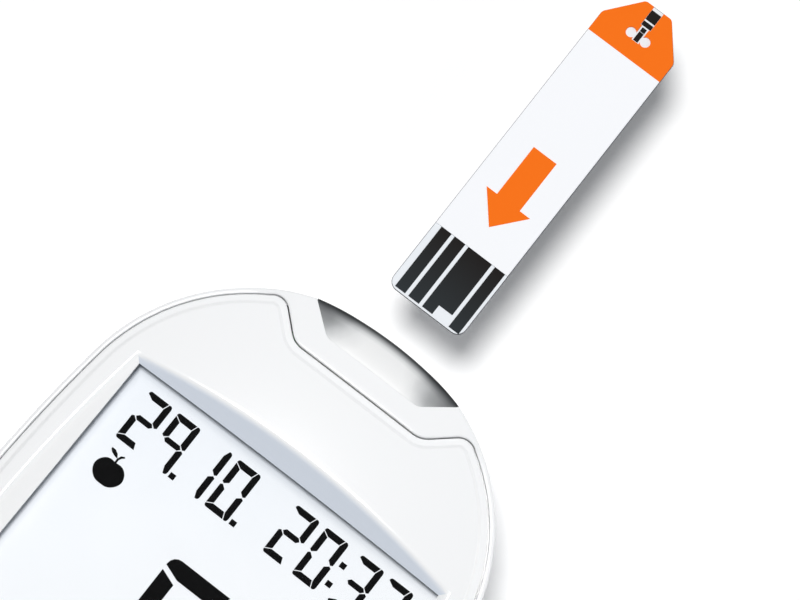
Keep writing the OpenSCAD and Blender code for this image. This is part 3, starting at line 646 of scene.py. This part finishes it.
def coloured(stuff, colour):
    """Gives a material's shader a colour in place of its skin's."""
    tree = stuff.node_tree
    tree.links.new(colour, tree.nodes["Principled BSDF"].inputs["Base Color"])
    return stuff


def coordinate(tree, axis, node="ShaderNodeTexCoord", output="Object"):
    """One coordinate of each point of a piece, or of the way that its face looks."""
    place, apart = tree.nodes.new(node), tree.nodes.new("ShaderNodeSeparateXYZ")
    tree.links.new(place.outputs[output], apart.inputs[0])
    return apart.outputs[axis]


def between(tree, value, low, high, how="LINEAR"):
    """How far a value has come from low to high, from 0 to 1."""
    spread = tree.nodes.new("ShaderNodeMapRange")
    spread.interpolation_type = how
    spread.inputs["From Min"].default_value = low
    spread.inputs["From Max"].default_value = high
    tree.links.new(value, spread.inputs["Value"])
    return spread.outputs["Result"]


def cover_white_with_painted_light():
    """The shell's white with painted light and shade: a painted cool shade on the bevel over the
    display, which faces -Y, and a painted highlight that makes slopes facing +X, such as the
    bevel on the window's left, purer white."""
    stuff = white_shell.copy()
    stuff.name = "white_abs_cover_painted_light"
    tree, colour = stuff.node_tree, skin_of(stuff).outputs["Colour"]
    # Painted shade and highlight by the way a face looks: faces towards -Y are darkened and
    # tinted cool, faces towards +X are painted pure white.
    for axis, flat, steep, how, tone in (
            ("Y", -0.25, -0.6, "MULTIPLY", (0.83, 0.885, 0.97, 1)),
            ("X", 0.3, 0.55, "MIX", (1.0, 1.0, 1.0, 1))):
        slope = between(tree, coordinate(tree, axis, "ShaderNodeNewGeometry", "Normal"),
                        flat, steep)
        colour = laid(tree, colour, tone, slope, how)
    return coloured(stuff, colour)


dress(cover, cover_white_with_painted_light())
fit(cover, "housing", "shell_white", "front_cover")

# ---------------------------------------------------------------- port insert
# The insert round the strip port: one moulding with a satin silver coat, pushed into the nose.
# Its scoop guides a finger and the strip down to the slot in its front face.

port_floor = 11.8
rim_fall, scoop_flat, scoop_r = 1.55, 4.0, 16
slot_half, slot_low, slot_high = 5.95, 13.1, 13.9


def scoop_grid():
    """The scoop's rows, from the insert's inner edge out to the rim over the slot."""
    half = port_plan(0.0)

    def before_port(run):
        p = on_outline(run)[0]
        return (p.x - port_x) * port_dy - (p.y - port_y) * port_dx > 0

    run = run_until(half_round * 0.8, half_round, before_port)
    columns, steps = 48, 24
    inner = respaced(half[:-1] + [on_outline(run)[0]], columns + 1)
    rim = [on_outline(half_round - (half_round - run) * k / columns)[0]
           for k in range(columns + 1)]
    inner = flipped(inner[:0:-1]) + inner
    rim = flipped(rim[:0:-1]) + rim
    rows = []
    for k in range(steps + 1):
        v = 1 - (1 - k / steps) ** 1.3
        row = []
        for a, b in zip(inner, rim):
            q = a.lerp(b, v)
            lift = max(abs(q.x) - scoop_flat, 0.0)
            fall = max(rim_fall - scoop_r + math.sqrt(scoop_r ** 2 - lift * lift), 0.0)
            row.append((q.x, q.y, crown(q.x, q.y, fall * v ** 1.9)))
        rows.append(row)
    return rows


def port_insert():
    rows = scoop_grid()
    bpy.ops.object.select_all(action="DESELECT")
    bpy.ops.mesh.primitive_grid_add(x_subdivisions=len(rows[0]) - 1,
                                    y_subdivisions=len(rows) - 1)
    piece = bpy.context.object
    piece.data.vertices.foreach_set("co", [c * mm for row in rows for p in row for c in p])
    bpy.ops.object.mode_set(mode="EDIT")
    bpy.ops.mesh.select_all(action="SELECT")
    bpy.ops.mesh.remove_doubles(threshold=0.002 * mm)
    bpy.ops.mesh.select_all(action="DESELECT")
    bpy.ops.mesh.select_non_manifold()
    bpy.ops.mesh.extrude_edges_move(TRANSFORM_OT_translate={"value": (0, 0, -mm)})
    bpy.ops.object.mode_set(mode="OBJECT")
    for v in piece.data.vertices:
        if v.select:
            v.co.z = port_floor * mm
    bpy.ops.object.mode_set(mode="EDIT")
    bpy.ops.mesh.fill_holes(sides=0)
    bpy.ops.mesh.select_all(action="SELECT")
    bpy.ops.mesh.normals_make_consistent(inside=False)
    bpy.ops.object.mode_set(mode="OBJECT")
    joined(piece, block(-slot_half, slot_half, 40, 50, slot_low, slot_high))
    mouth = block(-slot_half - 0.5, slot_half + 0.5, 46.8, 50, slot_low - 0.5, slot_high + 0.5)
    joined(piece, mouth)
    return softened(named(piece, "port_insert_piece"), 35)


insert = port_insert()


def silver_with_painted_shade():
    """Satin silver, white in the middle of the scoop, with painted shade that darkens it towards
    its two ends and a painted dark reflection in a narrow line along its rim."""
    stuff = finish("satin_silver_painted_shade", (0.99, 0.99, 0.99), (0.95, 0.96, 0.97), 0.3, grain=9000.0,
                   bump=0.06, Metallic=0.12)
    tree = stuff.node_tree
    add, link = tree.nodes.new, tree.links.new

    def shaded(value, stops, colour):
        """One ramp of painted shade in greys over a measure in millimetres, laid over a colour.
        """
        low, high = stops[0][0], stops[-1][0]
        fade = add("ShaderNodeValToRGB")
        fade.color_ramp.interpolation = "LINEAR"
        marks = fade.color_ramp.elements
        for k, (spot, grey) in enumerate(stops):
            at = (spot - low) / (high - low)
            stop = marks[0] if k == 0 else marks[-1] if k == len(stops) - 1 else marks.new(at)
            stop.position = at
            stop.color = (grey * (0.94 + 0.06 * grey), grey * (0.97 + 0.03 * grey), grey, 1)
        link(between(tree, value, low * mm, high * mm), fade.inputs["Fac"])
        return laid(tree, colour, fade.outputs["Color"], how="MULTIPLY")

    lean, ripple = 0.45, 1.6
    place, waves = add("ShaderNodeTexCoord"), add("ShaderNodeTexNoise")
    waves.inputs["Scale"].default_value, waves.inputs["Detail"].default_value = 420, 1
    link(place.outputs["Object"], waves.inputs["Vector"])
    side = worked(tree, "ABSOLUTE", coordinate(tree, "X"))
    aslant = worked(tree, "MULTIPLY_ADD", coordinate(tree, "Y"), lean, side)
    start = 43.4 * lean + 0.8
    # Painted shade: darker towards the scoop's two ends.
    ends = shaded(worked(tree, "MULTIPLY_ADD", waves.outputs["Fac"], ripple * mm, aslant), [
        (start + 3.8, 1.0), (start + 5.6, 0.9), (start + 7.0, 0.68), (start + 8.2, 0.46),
        (start + 9.4, 0.32), (start + 10.8, 0.22)], skin_of(stuff).outputs["Colour"])
    flat, reach = add("ShaderNodeVectorMath"), add("ShaderNodeVectorMath")
    flat.operation, flat.inputs[1].default_value = "MULTIPLY", (1, 1, 0)
    reach.operation, reach.inputs[1].default_value = "DISTANCE", (0, (half_l - end_r) * mm, 0)
    link(place.outputs["Object"], flat.inputs[0])
    link(flat.outputs[0], reach.inputs[0])
    # Painted dark reflection: a narrow dark line along the rim.
    return coloured(stuff, shaded(reach.outputs["Value"], [
        (48.5, 1.0), (48.95, 0.82), (49.3, 0.5), (49.55, 0.25), (49.75, 0.07),
        (49.93, 0.05), (49.97, 0.22), (50.0, 0.24)], ends))


dress(insert, silver_with_painted_shade())
fit(insert, "housing", "insert_silver", "port_insert")

# ---------------------------------------------------------------- window and display
# A clear acrylic window glued in the cover over a reflective segment display: two glasses in
# a frame on the board, with a grey gasket against dust, and segments printed in liquid
# crystal that read as black ink.

lcd_top = 15.4
digit_h, digit_w, stroke = 7.05, 3.5, 0.84
digits_y, ink_depth = 18.0, 0.05
ink_black = (0.003, 0.0028, 0.0028)


def window_pane(grow, z0, z1, name):
    plan = window_corners(grow)[:1] + [on_window(1, k / 24, grow) for k in range(25)]
    return stamped(name, plan + window_corners(grow)[3:], z0, z1)


pane = window_pane(0.0, 16.75, window_z, "window_pane")
joined(pane, window_pane(0.8, 16.25, 16.76, "window_lip"), "UNION")
named(pane, "window_pane")
dress(pane, finish("clear_acrylic", (0.06, 0.07, 0.08), (0.05, 0.06, 0.07), 0.05, haze=0.02,
                   grain=400.0, bump=0.01, Alpha=0.02, Specular_IOR_Level=0.02))
fit(pane, "housing", "window_clear", "display_window")


def segment(letter, w, h, s, soft, gap):
    """Corners of one of the seven segments of a figure, from its lower left corner."""
    mid, miter = h / 2, (soft + 0.07) * s
    if letter in "ad":
        spots = [(soft * s * (1 - math.cos(t)), h - soft * s * (1 - math.sin(t)))
                 for t in (0, 0.39, 0.79, 1.18, math.pi / 2)]
        spots = [(0, h - miter)] + spots + [(w - 0.6 * s - gap, h), (w - s - gap, h - s),
                                            (s, h - s)]
    elif letter in "bc":
        spots = [(w - s, mid + 0.5 * s + gap / 2), (w - s, h - s), (w - 0.6 * s, h),
                 (w - 0.3 * s, h), (w - 0.08 * s, h - 0.18 * s), (w, h - 0.5 * s),
                 (w, mid + 0.2 * s + gap / 2), (w - 0.35 * s, mid + gap / 2)]
    elif letter in "ef":
        spots = [(0, h - miter - gap), (s, h - s - gap), (s, mid + 0.5 * s + gap / 2),
                 (0.35 * s, mid + gap / 2), (0, mid + 0.2 * s + gap / 2)]
    else:
        spots = [(0.45 * s + gap, mid), (s, mid + 0.5 * s - gap / 2),
                 (w - s, mid + 0.5 * s - gap / 2), (w - 0.45 * s - gap, mid),
                 (w - s, mid - 0.5 * s + gap / 2), (s, mid - 0.5 * s + gap / 2)]
    return [(x, h - y) for x, y in spots] if letter in "cde" else spots


figures = {"0": "abcdef", "1": "bc", "2": "abged", "3": "abgcd", "7": "abc", "8": "abcdefg",
           "9": "abcfg"}


def inked(points, x, y):
    """A printed shape on the upper glass."""
    return stamped("ink", [(x + px, y + py) for px, py in points], lcd_top,
                   lcd_top + ink_depth)


def fruit_outline():
    """A round fruit with two lobes, hollowed a little at its stem and its foot."""
    spots = []
    for k in range(48):
        turn = math.tau * k / 48
        dent = 0.32 * math.exp(-(math.remainder(turn - math.pi / 2, math.tau) / 0.38) ** 2)
        dent += 0.16 * math.exp(-(math.remainder(turn + math.pi / 2, math.tau) / 0.3) ** 2)
        r = 2.1 - dent - 0.14 * max(0.0, -math.sin(turn)) * abs(math.cos(turn))
        spots.append((r * math.cos(turn), 0.85 * r * math.sin(turn)))
    return spots


def as_one(pieces, name):
    """Joins pieces to one object."""
    only(pieces[0])
    for piece in pieces:
        piece.select_set(True)
    bpy.ops.object.join()
    return named(bpy.context.object, name)


def all_digits():
    prints = []
    for value, x in (("2", -20.15), ("9", -15.75), ("1", -10.77), ("0", -6.35),
                     ("2", 2.72), ("0", 7.22), ("3", 12.68), ("7", 17.2)):
        for letter in figures[value]:
            prints.append(inked(segment(letter, digit_w, digit_h, stroke, 0.4, 0.12),
                                x, digits_y))
    dot = [(-0.4, -0.37), (0.4, -0.37), (0.4, 0.37), (-0.4, 0.37)]
    for x, y in ((-11.55, 18.38), (-2.13, 18.42), (11.67, 22.53), (11.67, 19.73)):
        prints.append(inked(dot, x, y))
    for value, x in (("9", -5.4), ("8", 7.9)):
        for letter in figures[value]:
            prints.append(inked(segment(letter, 10.8, 18.0, 2.25, 0.58, 0.7), x, -7.0))
    prints.append(inked(fruit_outline(), -18.0, 13.95))
    prints.append(inked([(-0.14, 0.0), (0.14, 0.0), (0.12, 0.55), (0.3, 0.92), (0.62, 1.2),
                         (0.5, 1.36), (0.06, 1.12), (-0.14, 0.6)], -18.05, 15.35))
    prints.append(inked([(0.0, 0.0), (-0.34, 0.5), (-0.84, 0.78), (-1.38, 0.8), (-1.4, 0.62),
                         (-1.08, 0.3), (-0.5, 0.08)], -18.15, 15.95))
    return as_one(prints, "display_segments")


segments = all_digits()
dress(segments, finish("segment_ink", ink_black, (0.006, 0.0056, 0.0056), 0.7, bump=0.02,
                       Specular_IOR_Level=0.0))
fit(segments, "housing", "digit_ink", "lcd_digits")

gasket = window_pane(1.3, 15.4, 15.6, "dust_gasket")
joined(gasket, window_pane(0.1, 15, 16, "gasket_hole"))
named(gasket, "dust_gasket")
dress(gasket, finish("gasket_foam", (0.5, 0.52, 0.55), (0.54, 0.56, 0.58), 0.8, bump=0.3))
fit(gasket, "housing", "gasket_black", "window_gasket")


def pale_display_with_painted_shade():
    """The display's face: a pale polariser, painted cooler towards the port end and the left,
    with a painted soft shade under the window's upper and left edges."""
    stuff = finish("display_polariser", (0.86, 0.89, 0.92), (0.80, 0.84, 0.90), 0.45,
                   drift=0.2, grain=6000.0, bump=0.02)
    tree = stuff.node_tree
    place, turn = tree.nodes.new("ShaderNodeTexCoord"), tree.nodes.new("ShaderNodeMapping")
    turn.inputs["Location"].default_value = (0.25, 0.0, 0)
    turn.inputs["Scale"].default_value = (-9.0, 12.0, 0)
    tree.links.new(place.outputs["Object"], turn.inputs["Vector"])

    def along(spot, way):
        run = tree.nodes.new("ShaderNodeVectorMath")
        run.operation, run.inputs[1].default_value = "DOT_PRODUCT", way
        tree.links.new(spot, run.inputs[0])
        return run.outputs["Value"]

    colour = laid(tree, (0.97, 0.98, 0.99, 1), (0.82, 0.87, 0.94, 1),
                  along(turn.outputs["Vector"], (1, 1, 0)))
    # Painted shade: a soft darker band under the window's upper and left edges.
    edges = [between(tree, along(place.outputs["Object"], way), start * mm, (start + 1.8) * mm,
                     "SMOOTHSTEP") for way, start in (
        ((0, 1, 0), window_top - 1.3),
        ((-1, -window_taper, 0), window_half - window_top * window_taper - 1.3))]
    shade = laid(tree, colour, (0.62, 0.64, 0.67, 1), worked(tree, "MAXIMUM", *edges), "MULTIPLY")
    tree.links.new(shade, skin_of(stuff).inputs["Colour"])
    return stuff


dress(nodes["lcd_upper_glass"], pale_display_with_painted_shade())
dress(nodes["lcd_lower_glass"], finish("display_glass", (0.78, 0.82, 0.84),
                                       (0.7, 0.75, 0.78), 0.15, bump=0.01))
dress(nodes["lcd_frame"], finish("frame_plastic", (0.33, 0.34, 0.36), (0.28, 0.29, 0.31), 0.5))
dress(nodes["light_guide"], finish("light_guide_acrylic", (0.85, 0.88, 0.9),
                                   (0.8, 0.85, 0.88), 0.12, bump=0.02))
dress(nodes["zebra_strip"], finish("zebra_rubber", (0.55, 0.28, 0.33), (0.4, 0.2, 0.25), 0.6,
                                   drift=0.6, grain=5000.0, bump=0.3))

# ---------------------------------------------------------------- circuit board
# A one millimetre glass-fibre board with green solder mask, held on the four screw posts. The
# chips, crystal, capacitors, buzzer and push switches are soldered to it.

dress(nodes["main_board"], finish("green_board", (0.02, 0.16, 0.07), (0.03, 0.24, 0.10), 0.32,
                                  drift=0.7, grain=1800.0, bump=0.25))
for name in ("processor_chip", "memory_chip", "buzzer"):
    dress(nodes[name], finish(name + "_epoxy", (0.03, 0.03, 0.032), (0.05, 0.05, 0.052), 0.55,
                              grain=4000.0, bump=0.3))
for name in ("clock_crystal", "tact_switches"):
    dress(nodes[name], finish(name + "_steel", (0.62, 0.62, 0.6), (0.5, 0.5, 0.5), 0.28,
                              Metallic=1.0))
dress(nodes["board_capacitors"], finish("capacitor_ceramic", (0.5, 0.38, 0.25),
                                        (0.4, 0.3, 0.2), 0.45, bump=0.2))
dress(nodes["strip_connector"], finish("connector_nylon", (0.78, 0.74, 0.62),
                                       (0.7, 0.66, 0.55), 0.5, bump=0.2))
for name in ("connector_springs", "negative_contacts", "positive_contacts"):
    dress(nodes[name], finish(name + "_plate", (0.85, 0.62, 0.28), (0.75, 0.52, 0.22), 0.25,
                              Metallic=1.0))

# ---------------------------------------------------------------- cells, door, screws, feet
# Two coin cells in their pockets behind a sliding door, four steel screws from below, and a
# rubber foot glued over each screw.

for name in ("front_cell", "rear_cell"):
    dress(nodes[name], finish(name + "_steel", (0.66, 0.67, 0.68), (0.55, 0.56, 0.58), 0.24,
                              grain=900.0, bump=0.08, Metallic=1.0))


def case_solid(name, inset, low, high):
    """The case's lower body as a plain solid, with the round edge under it."""
    r = base_fillet - inset
    rings = []
    for k in range(11):
        turn = math.pi / 2 * k / 10
        rings.append([(*(p - n * (inset + r * (1 - math.sin(turn)))),
                       low + r * (1 - math.cos(turn))) for p, n in outer])
    rings.append([(*(p - n * inset), high) for p, n in outer])
    return wrapped(name, rings)


def battery_door():
    door_half, flap_half, door_y0, door_y1, flap_y = 12.5, 14.6, -49, -1.5, -37
    tongue_in, tongue_out, tongue_y = 11.2, 13.8, -39
    piece = case_solid("battery_door_piece", 0.0, 0.0, 9.0)
    joined(piece, case_solid("door_hollow", wall, wall, 9.5))
    plan = block(-door_half, door_half, door_y0, door_y1, -1, 1.6)
    joined(plan, block(-flap_half, flap_half, door_y0, flap_y, 1.55, 7.0), "UNION")
    joined(piece, plan, "INTERSECT")
    for side in (-1, 1):
        for reach, z0, z1 in ((tongue_out, 1.75, 2.55), (door_half, 1.5, 1.8)):
            x = sorted((side * tongue_in, side * reach))
            joined(piece, block(*x, tongue_y, door_y1, z0, z1), "UNION")
    for k in range(5):
        y = -13.5 + 1.8 * k
        joined(piece, block(-6.25, 6.25, y, y + 0.9, -1, 0.4))
    rounding = piece.modifiers.new("edges", "BEVEL")
    rounding.width, rounding.segments, rounding.limit_method = 0.12 * mm, 2, "ANGLE"
    rounding.angle_limit = math.radians(50)
    apply_all(piece)
    return softened(named(piece, "battery_door_piece"), 35)


door = battery_door()
dress(door, white_shell)
fit(door, "battery_door", "shell_white", "battery_door")


def rubber_foot(x, y):
    rings = []
    for reach, z in ((2.6, -0.78), (2.85, -0.72), (3.02, -0.58), (3.1, -0.4), (3.1, 0.4)):
        rings.append([(*p, z) for p in circle(x, y, reach, 64)])
    rings.insert(0, [(x + 0.8 * (p[0] - x), y + 0.8 * (p[1] - y), -0.8) for p in rings[0]])
    return wrapped("rubber_foot", rings)


feet = softened(as_one([rubber_foot(x, y) for x, y in posts], "rubber_feet_set"))
dress(nodes["housing_screws"], finish("screw_steel", (0.55, 0.56, 0.58), (0.4, 0.41, 0.43),
                                      0.3, Metallic=1.0))
dress(feet, finish("foot_rubber", (0.22, 0.225, 0.235), (0.17, 0.17, 0.18), 0.8,
                   grain=3500.0, bump=0.5))
fit(feet, "housing", "foot_rubber", "rubber_feet")

# ---------------------------------------------------------------- buttons
# Three rubber-sprung keys moulded in a slightly warmer white than the case, each with its
# mark printed in grey.

key_proud, key_dish, key_lip, key_soft = 0.5, 0.16, 0.8, 0.35
key_foot = 13.1


def key_face(x, y, at, r):
    """Height of a key's dished face at a point."""
    share = min(math.hypot(x - at[0], y - at[1]) / (r - key_soft), 1.0)
    return crown(x, y) + key_proud - key_dish * (1 - share * share)


def key(name, at, r):
    corner = (abs(at[0]) + (r + key_lip) * 0.8, abs(at[1]) + r + key_lip)
    flange = (case_top - wall - 0.95 - crown_rx + math.sqrt(crown_rx ** 2 - corner[0] ** 2)
              - crown_ry + math.sqrt(crown_ry ** 2 - corner[1] ** 2))
    rings = []

    def ring(reach, height):
        rings.append([(*p, height(*p)) for p in circle(*at, reach, 96)])
    for reach, z in ((1.8, key_foot), (1.8, flange), (r + key_lip, flange),
                     (r + key_lip, flange + 0.8), (r, flange + 0.8)):
        ring(reach, lambda x, y: z)
    for k in range(7):
        turn = math.pi / 2 * k / 6
        ring(r - key_soft * (1 - math.cos(turn)),
             lambda x, y: crown(x, y) + key_proud - key_soft * (1 - math.sin(turn)))
    for k in range(1, 13):
        ring((r - key_soft) * (1 - k / 12.5), lambda x, y: key_face(x, y, at, r))
    return softened(wrapped(name, rings), 35)


def printed(name, spots, at, r, hole=0.0):
    """A mark printed on a key's face: an outline given from the key's middle, with a hole of
    the same shape in it if one is given."""
    rings = []
    for share, lift in [(1.0, -0.03)] + [(1 - (1 - hole) * k / 8, 0.03) for k in range(9)]:
        share = max(share, 0.01)
        points = [(at[0] + x * share, at[1] + y * share) for x, y in spots]
        rings.append([(*p, key_face(*p, at, r) + lift) for p in points])
    if hole:
        rings.append([(x, y, z - 0.06) for x, y, z in rings[-1]])
        rings.append(rings[0])
    return softened(wrapped(name, rings, close=not hole), 35)


def key_arrow(way):
    """A rounded triangle that points along the face, with even steps along its sides."""
    reach = 1.9
    corners = [(way * reach * math.cos(a), way * reach * math.sin(a))
               for a in (0, math.tau / 3, 2 * math.tau / 3)]
    plan = rounded_plan(corners, (0.3, 0.3, 0.3), 4)
    return respaced(plan + plan[:1], 61)[:-1]


key_white = finish("key_white", (0.87, 0.875, 0.88), (0.83, 0.84, 0.86), 0.4, bump=0.15)
mark_grey = finish("mark_grey", (0.16, 0.18, 0.21), (0.2, 0.22, 0.25), 0.5)
ring_mark = circle(0, 0, 2.3, 72)
for (x, y, r), name, mark, hole in zip(
        buttons, ("main", "left", "right"), (ring_mark, key_arrow(-1), key_arrow(1)),
        (0.72, 0.0, 0.0)):
    cap = key(name + "_key", (x, y), r)
    dress(cap, key_white)
    fit(cap, name + "_button", "button_white", name + "_button")
    sign = printed(name + "_mark", mark, (x, y), r, hole)
    dress(sign, mark_grey)
    fit(sign, name + "_button", "symbol_grey", name + "_symbol")

# ---------------------------------------------------------------- test strip
# The test strip: a polyester base film with printed carbon conductors, a white cover film, an
# orange tip with the fill channel, and an orange arrow that shows which way it goes in.

strip_y0, strip_y1, strip_half = 53.6, 102.0, 5.65
shoulder, tip_flat = 4.4, 2.0
base_z, film_z, film_top = 13.225, 13.575, 13.775
contact_run, tip_run = 9.8, 7.4


def strip_plan(inset, y0, y1, ends=(True, True)):
    """The strip's outline between two places along it, moved in by inset."""
    w = strip_half - inset
    corners, radii = [(-w, y0), (w, y0)], [1.3 if ends[0] else 0.0] * 2
    if ends[1]:
        corners += [(w, y1 - shoulder), (tip_flat, y1), (-tip_flat, y1), (-w, y1 - shoulder)]
        radii += [1.0, 0.7, 0.7, 1.0]
    else:
        corners += [(w, y1), (-w, y1)]
        radii += [0.0, 0.0]
    return rounded_plan(corners, radii)


def level(x0, x1, y0, y1):
    return stamped("print", [(x0, y0), (x1, y0), (x1, y1), (x0, y1)], film_z,
                   film_z + ink_depth)


base = stamped("strip_film", strip_plan(0.0, strip_y0, strip_y1), base_z, film_z)


def strip_film_with_painted_edge_shade():
    """White polyester whose punched edge, below the face, is painted dark as shade."""
    stuff = finish("strip_polyester", (0.82, 0.85, 0.89), (0.78, 0.81, 0.86), 0.5, bump=0.03,
                   Specular_IOR_Level=0.1)
    tree = stuff.node_tree
    # Painted shade: everything below the film's face, its cut edge and chamfer, is coloured near
    # black.
    below = worked(tree, "LESS_THAN", coordinate(tree, "Z"), (film_z - 0.01) * mm)
    return coloured(stuff, laid(tree, skin_of(stuff).outputs["Colour"], (0.1, 0.1, 0.11, 1),
                                below))


# A narrow chamfer round the film's top edge, which takes the painted edge shade.
chamfer = base.modifiers.new("chamfer", "BEVEL")
chamfer.width, chamfer.segments, chamfer.limit_method = 0.08 * mm, 1, "ANGLE"
chamfer.angle_limit = math.radians(50)
apply_all(base)
dress(base, strip_film_with_painted_edge_shade())
fit(base, "test_strip", "strip_film", "strip_base")

bars = []
for x0, x1 in ((-4.7, -3.15), (-2.65, -1.0), (3.65, 5.2)):
    bars.append(level(x0, x1, strip_y0 + 0.35, strip_y0 + contact_run))
y = strip_y0 + 0.35
bars.append(stamped("print", [(-0.5, y), (1.1, y), (1.1, y + 1.4), (3.15, y + 1.4),
                              (3.15, strip_y0 + contact_run), (-0.5, strip_y0 + contact_run)],
                    film_z, film_z + ink_depth))
for half, far, near in ((0.72, 1.93, 0.5), (0.72, 2.8, 2.17), (0.34, 3.62, 3.0),
                        (0.34, 5.02, 3.68)):
    bars.append(level(-half, half, strip_y1 - far, strip_y1 - near))
conductors = as_one(bars, "strip_conductors")


def carbon_print():
    """Screen-printed carbon, a little greyer towards the end that goes into the meter."""
    stuff = finish("carbon_print", (0.012, 0.009, 0.008), (0.02, 0.019, 0.019), 0.6, drift=0.9,
                   grain=9000.0, bump=0.3, Specular_IOR_Level=0.03)
    tree = stuff.node_tree
    share = between(tree, coordinate(tree, "Y"), (strip_y0 + contact_run) * mm, strip_y0 * mm)
    return coloured(stuff, laid(tree, skin_of(stuff).outputs["Colour"], (0.03, 0.036, 0.04, 1),
                                share))


dress(conductors, carbon_print())
fit(conductors, "test_strip", "strip_carbon", "strip_electrodes")

cover_film = stamped("strip_cover", strip_plan(0.08, strip_y0 + contact_run, strip_y1 - tip_run,
                                               (False, False)), film_z, film_top)
dress(cover_film, finish("cover_film", (0.915, 0.925, 0.955), (0.9, 0.91, 0.94), 0.5, bump=0.03,
                         Specular_IOR_Level=0.1))
fit(cover_film, "test_strip", "strip_white", "strip_cover_film")

tip = stamped("strip_end", strip_plan(0.05, strip_y1 - tip_run, strip_y1 - 0.05, (False, True)),
              film_z, film_top)
joined(tip, block(-0.76, 0.76, strip_y1 - 2.88, strip_y1 + 1, 13, 14))
joined(tip, block(-0.55, 0.55, strip_y1 - 5.12, strip_y1 - 2.8, 13, 14))
for side in (-1, 1):
    joined(tip, rod(side * 1.1, strip_y1 - 4.42, 0.68, 13, 14, 32))
named(tip, "strip_end")
orange = finish("strip_orange", (0.93, 0.172, 0.011), (0.91, 0.166, 0.01), 0.6, bump=0.05,
                Specular_IOR_Level=0.02)
dress(tip, orange)
fit(tip, "test_strip", "strip_orange", "strip_tip")

head = strip_y0 + 13.3
arrow = stamped("strip_arrow_print", [
    (0, head), (3.4, head + 3.95), (1.78, head + 3.95), (1.78, head + 11.5),
    (-1.78, head + 11.5), (-1.78, head + 3.95), (-3.4, head + 3.95)], film_top,
    film_top + ink_depth)
dress(arrow, orange)
fit(arrow, "test_strip", "strip_orange", "strip_arrow")

# ---------------------------------------------------------------- studio
# A white table, two large soft lamps and a long lens that looks down on the display from
# the battery end's right.

bpy.ops.object.select_all(action="DESELECT")
bpy.ops.mesh.primitive_plane_add(size=6, location=(0, 0, -0.82 * mm))
bpy.ops.object.transform_apply()
floor = bpy.context.object
floor.name = "table_top"


def white_table():
    """A matt white table that also shows white in what the camera and gloss see of it."""
    stuff = finish("white_table", (0.93, 0.93, 0.935), (0.92, 0.92, 0.925), 0.7, drift=0.3,
                   grain=300.0, bump=0.0)
    tree = stuff.node_tree
    rays = tree.nodes.new("ShaderNodeLightPath")
    seen = rays.outputs["Is Camera Ray"]
    for other in ("Is Glossy Ray", "Is Transmission Ray"):
        seen = worked(tree, "MAXIMUM", seen, rays.outputs[other])
    shader = tree.nodes["Principled BSDF"]
    shader.inputs["Emission Color"].default_value = (1, 1, 1, 1)
    tree.links.new(worked(tree, "MULTIPLY", seen, 0.1), shader.inputs["Emission Strength"])
    return stuff


dress(floor, white_table())

world = bpy.data.worlds.new("studio_air")
bpy.context.scene.world = world
world.use_nodes = True
world.node_tree.nodes["Background"].inputs["Color"].default_value = (0.86, 0.93, 1.0, 1)
world.node_tree.nodes["Background"].inputs["Strength"].default_value = 0.11


def lamp(name, way, distance, width, power, tint):
    """A round soft lamp that shines on the port end of the meter."""
    aim = Vector((0, 0.05, 0))
    spot = aim + Vector(way).normalized() * distance
    bpy.ops.object.select_all(action="DESELECT")
    bpy.ops.object.light_add(type="AREA", location=spot)
    light = bpy.context.object
    light.name = name
    light.data.shape = "DISK"
    light.data.size, light.data.energy, light.data.color = width, power, tint
    light.rotation_euler = (aim - spot).to_track_quat("-Z", "Y").to_euler()


lamp("key", (-0.12, 0.08, 1.0), 1.1, 0.36, 10.1, (1.0, 0.995, 0.985))
lamp("fill", (0.8, 0.4, 0.42), 1.1, 0.9, 2.6, (0.96, 0.98, 1.0))

bpy.ops.object.camera_add()
camera = bpy.context.object
around, above = math.radians(37.8), math.radians(80.4)
back = Vector((math.sin(around) * math.cos(above), -math.cos(around) * math.cos(above),
               math.sin(above)))
camera.location = Vector((-2.74, 52.42, 17.3)) * mm + back * 0.4075
camera.rotation_euler = back.to_track_quat("Z", "Y").to_euler()
camera.data.lens, camera.data.sensor_width = 149.6, 36
camera.data.clip_start = 0.01
bpy.context.scene.camera = camera
bpy.context.scene.view_settings.view_transform = "Standard"
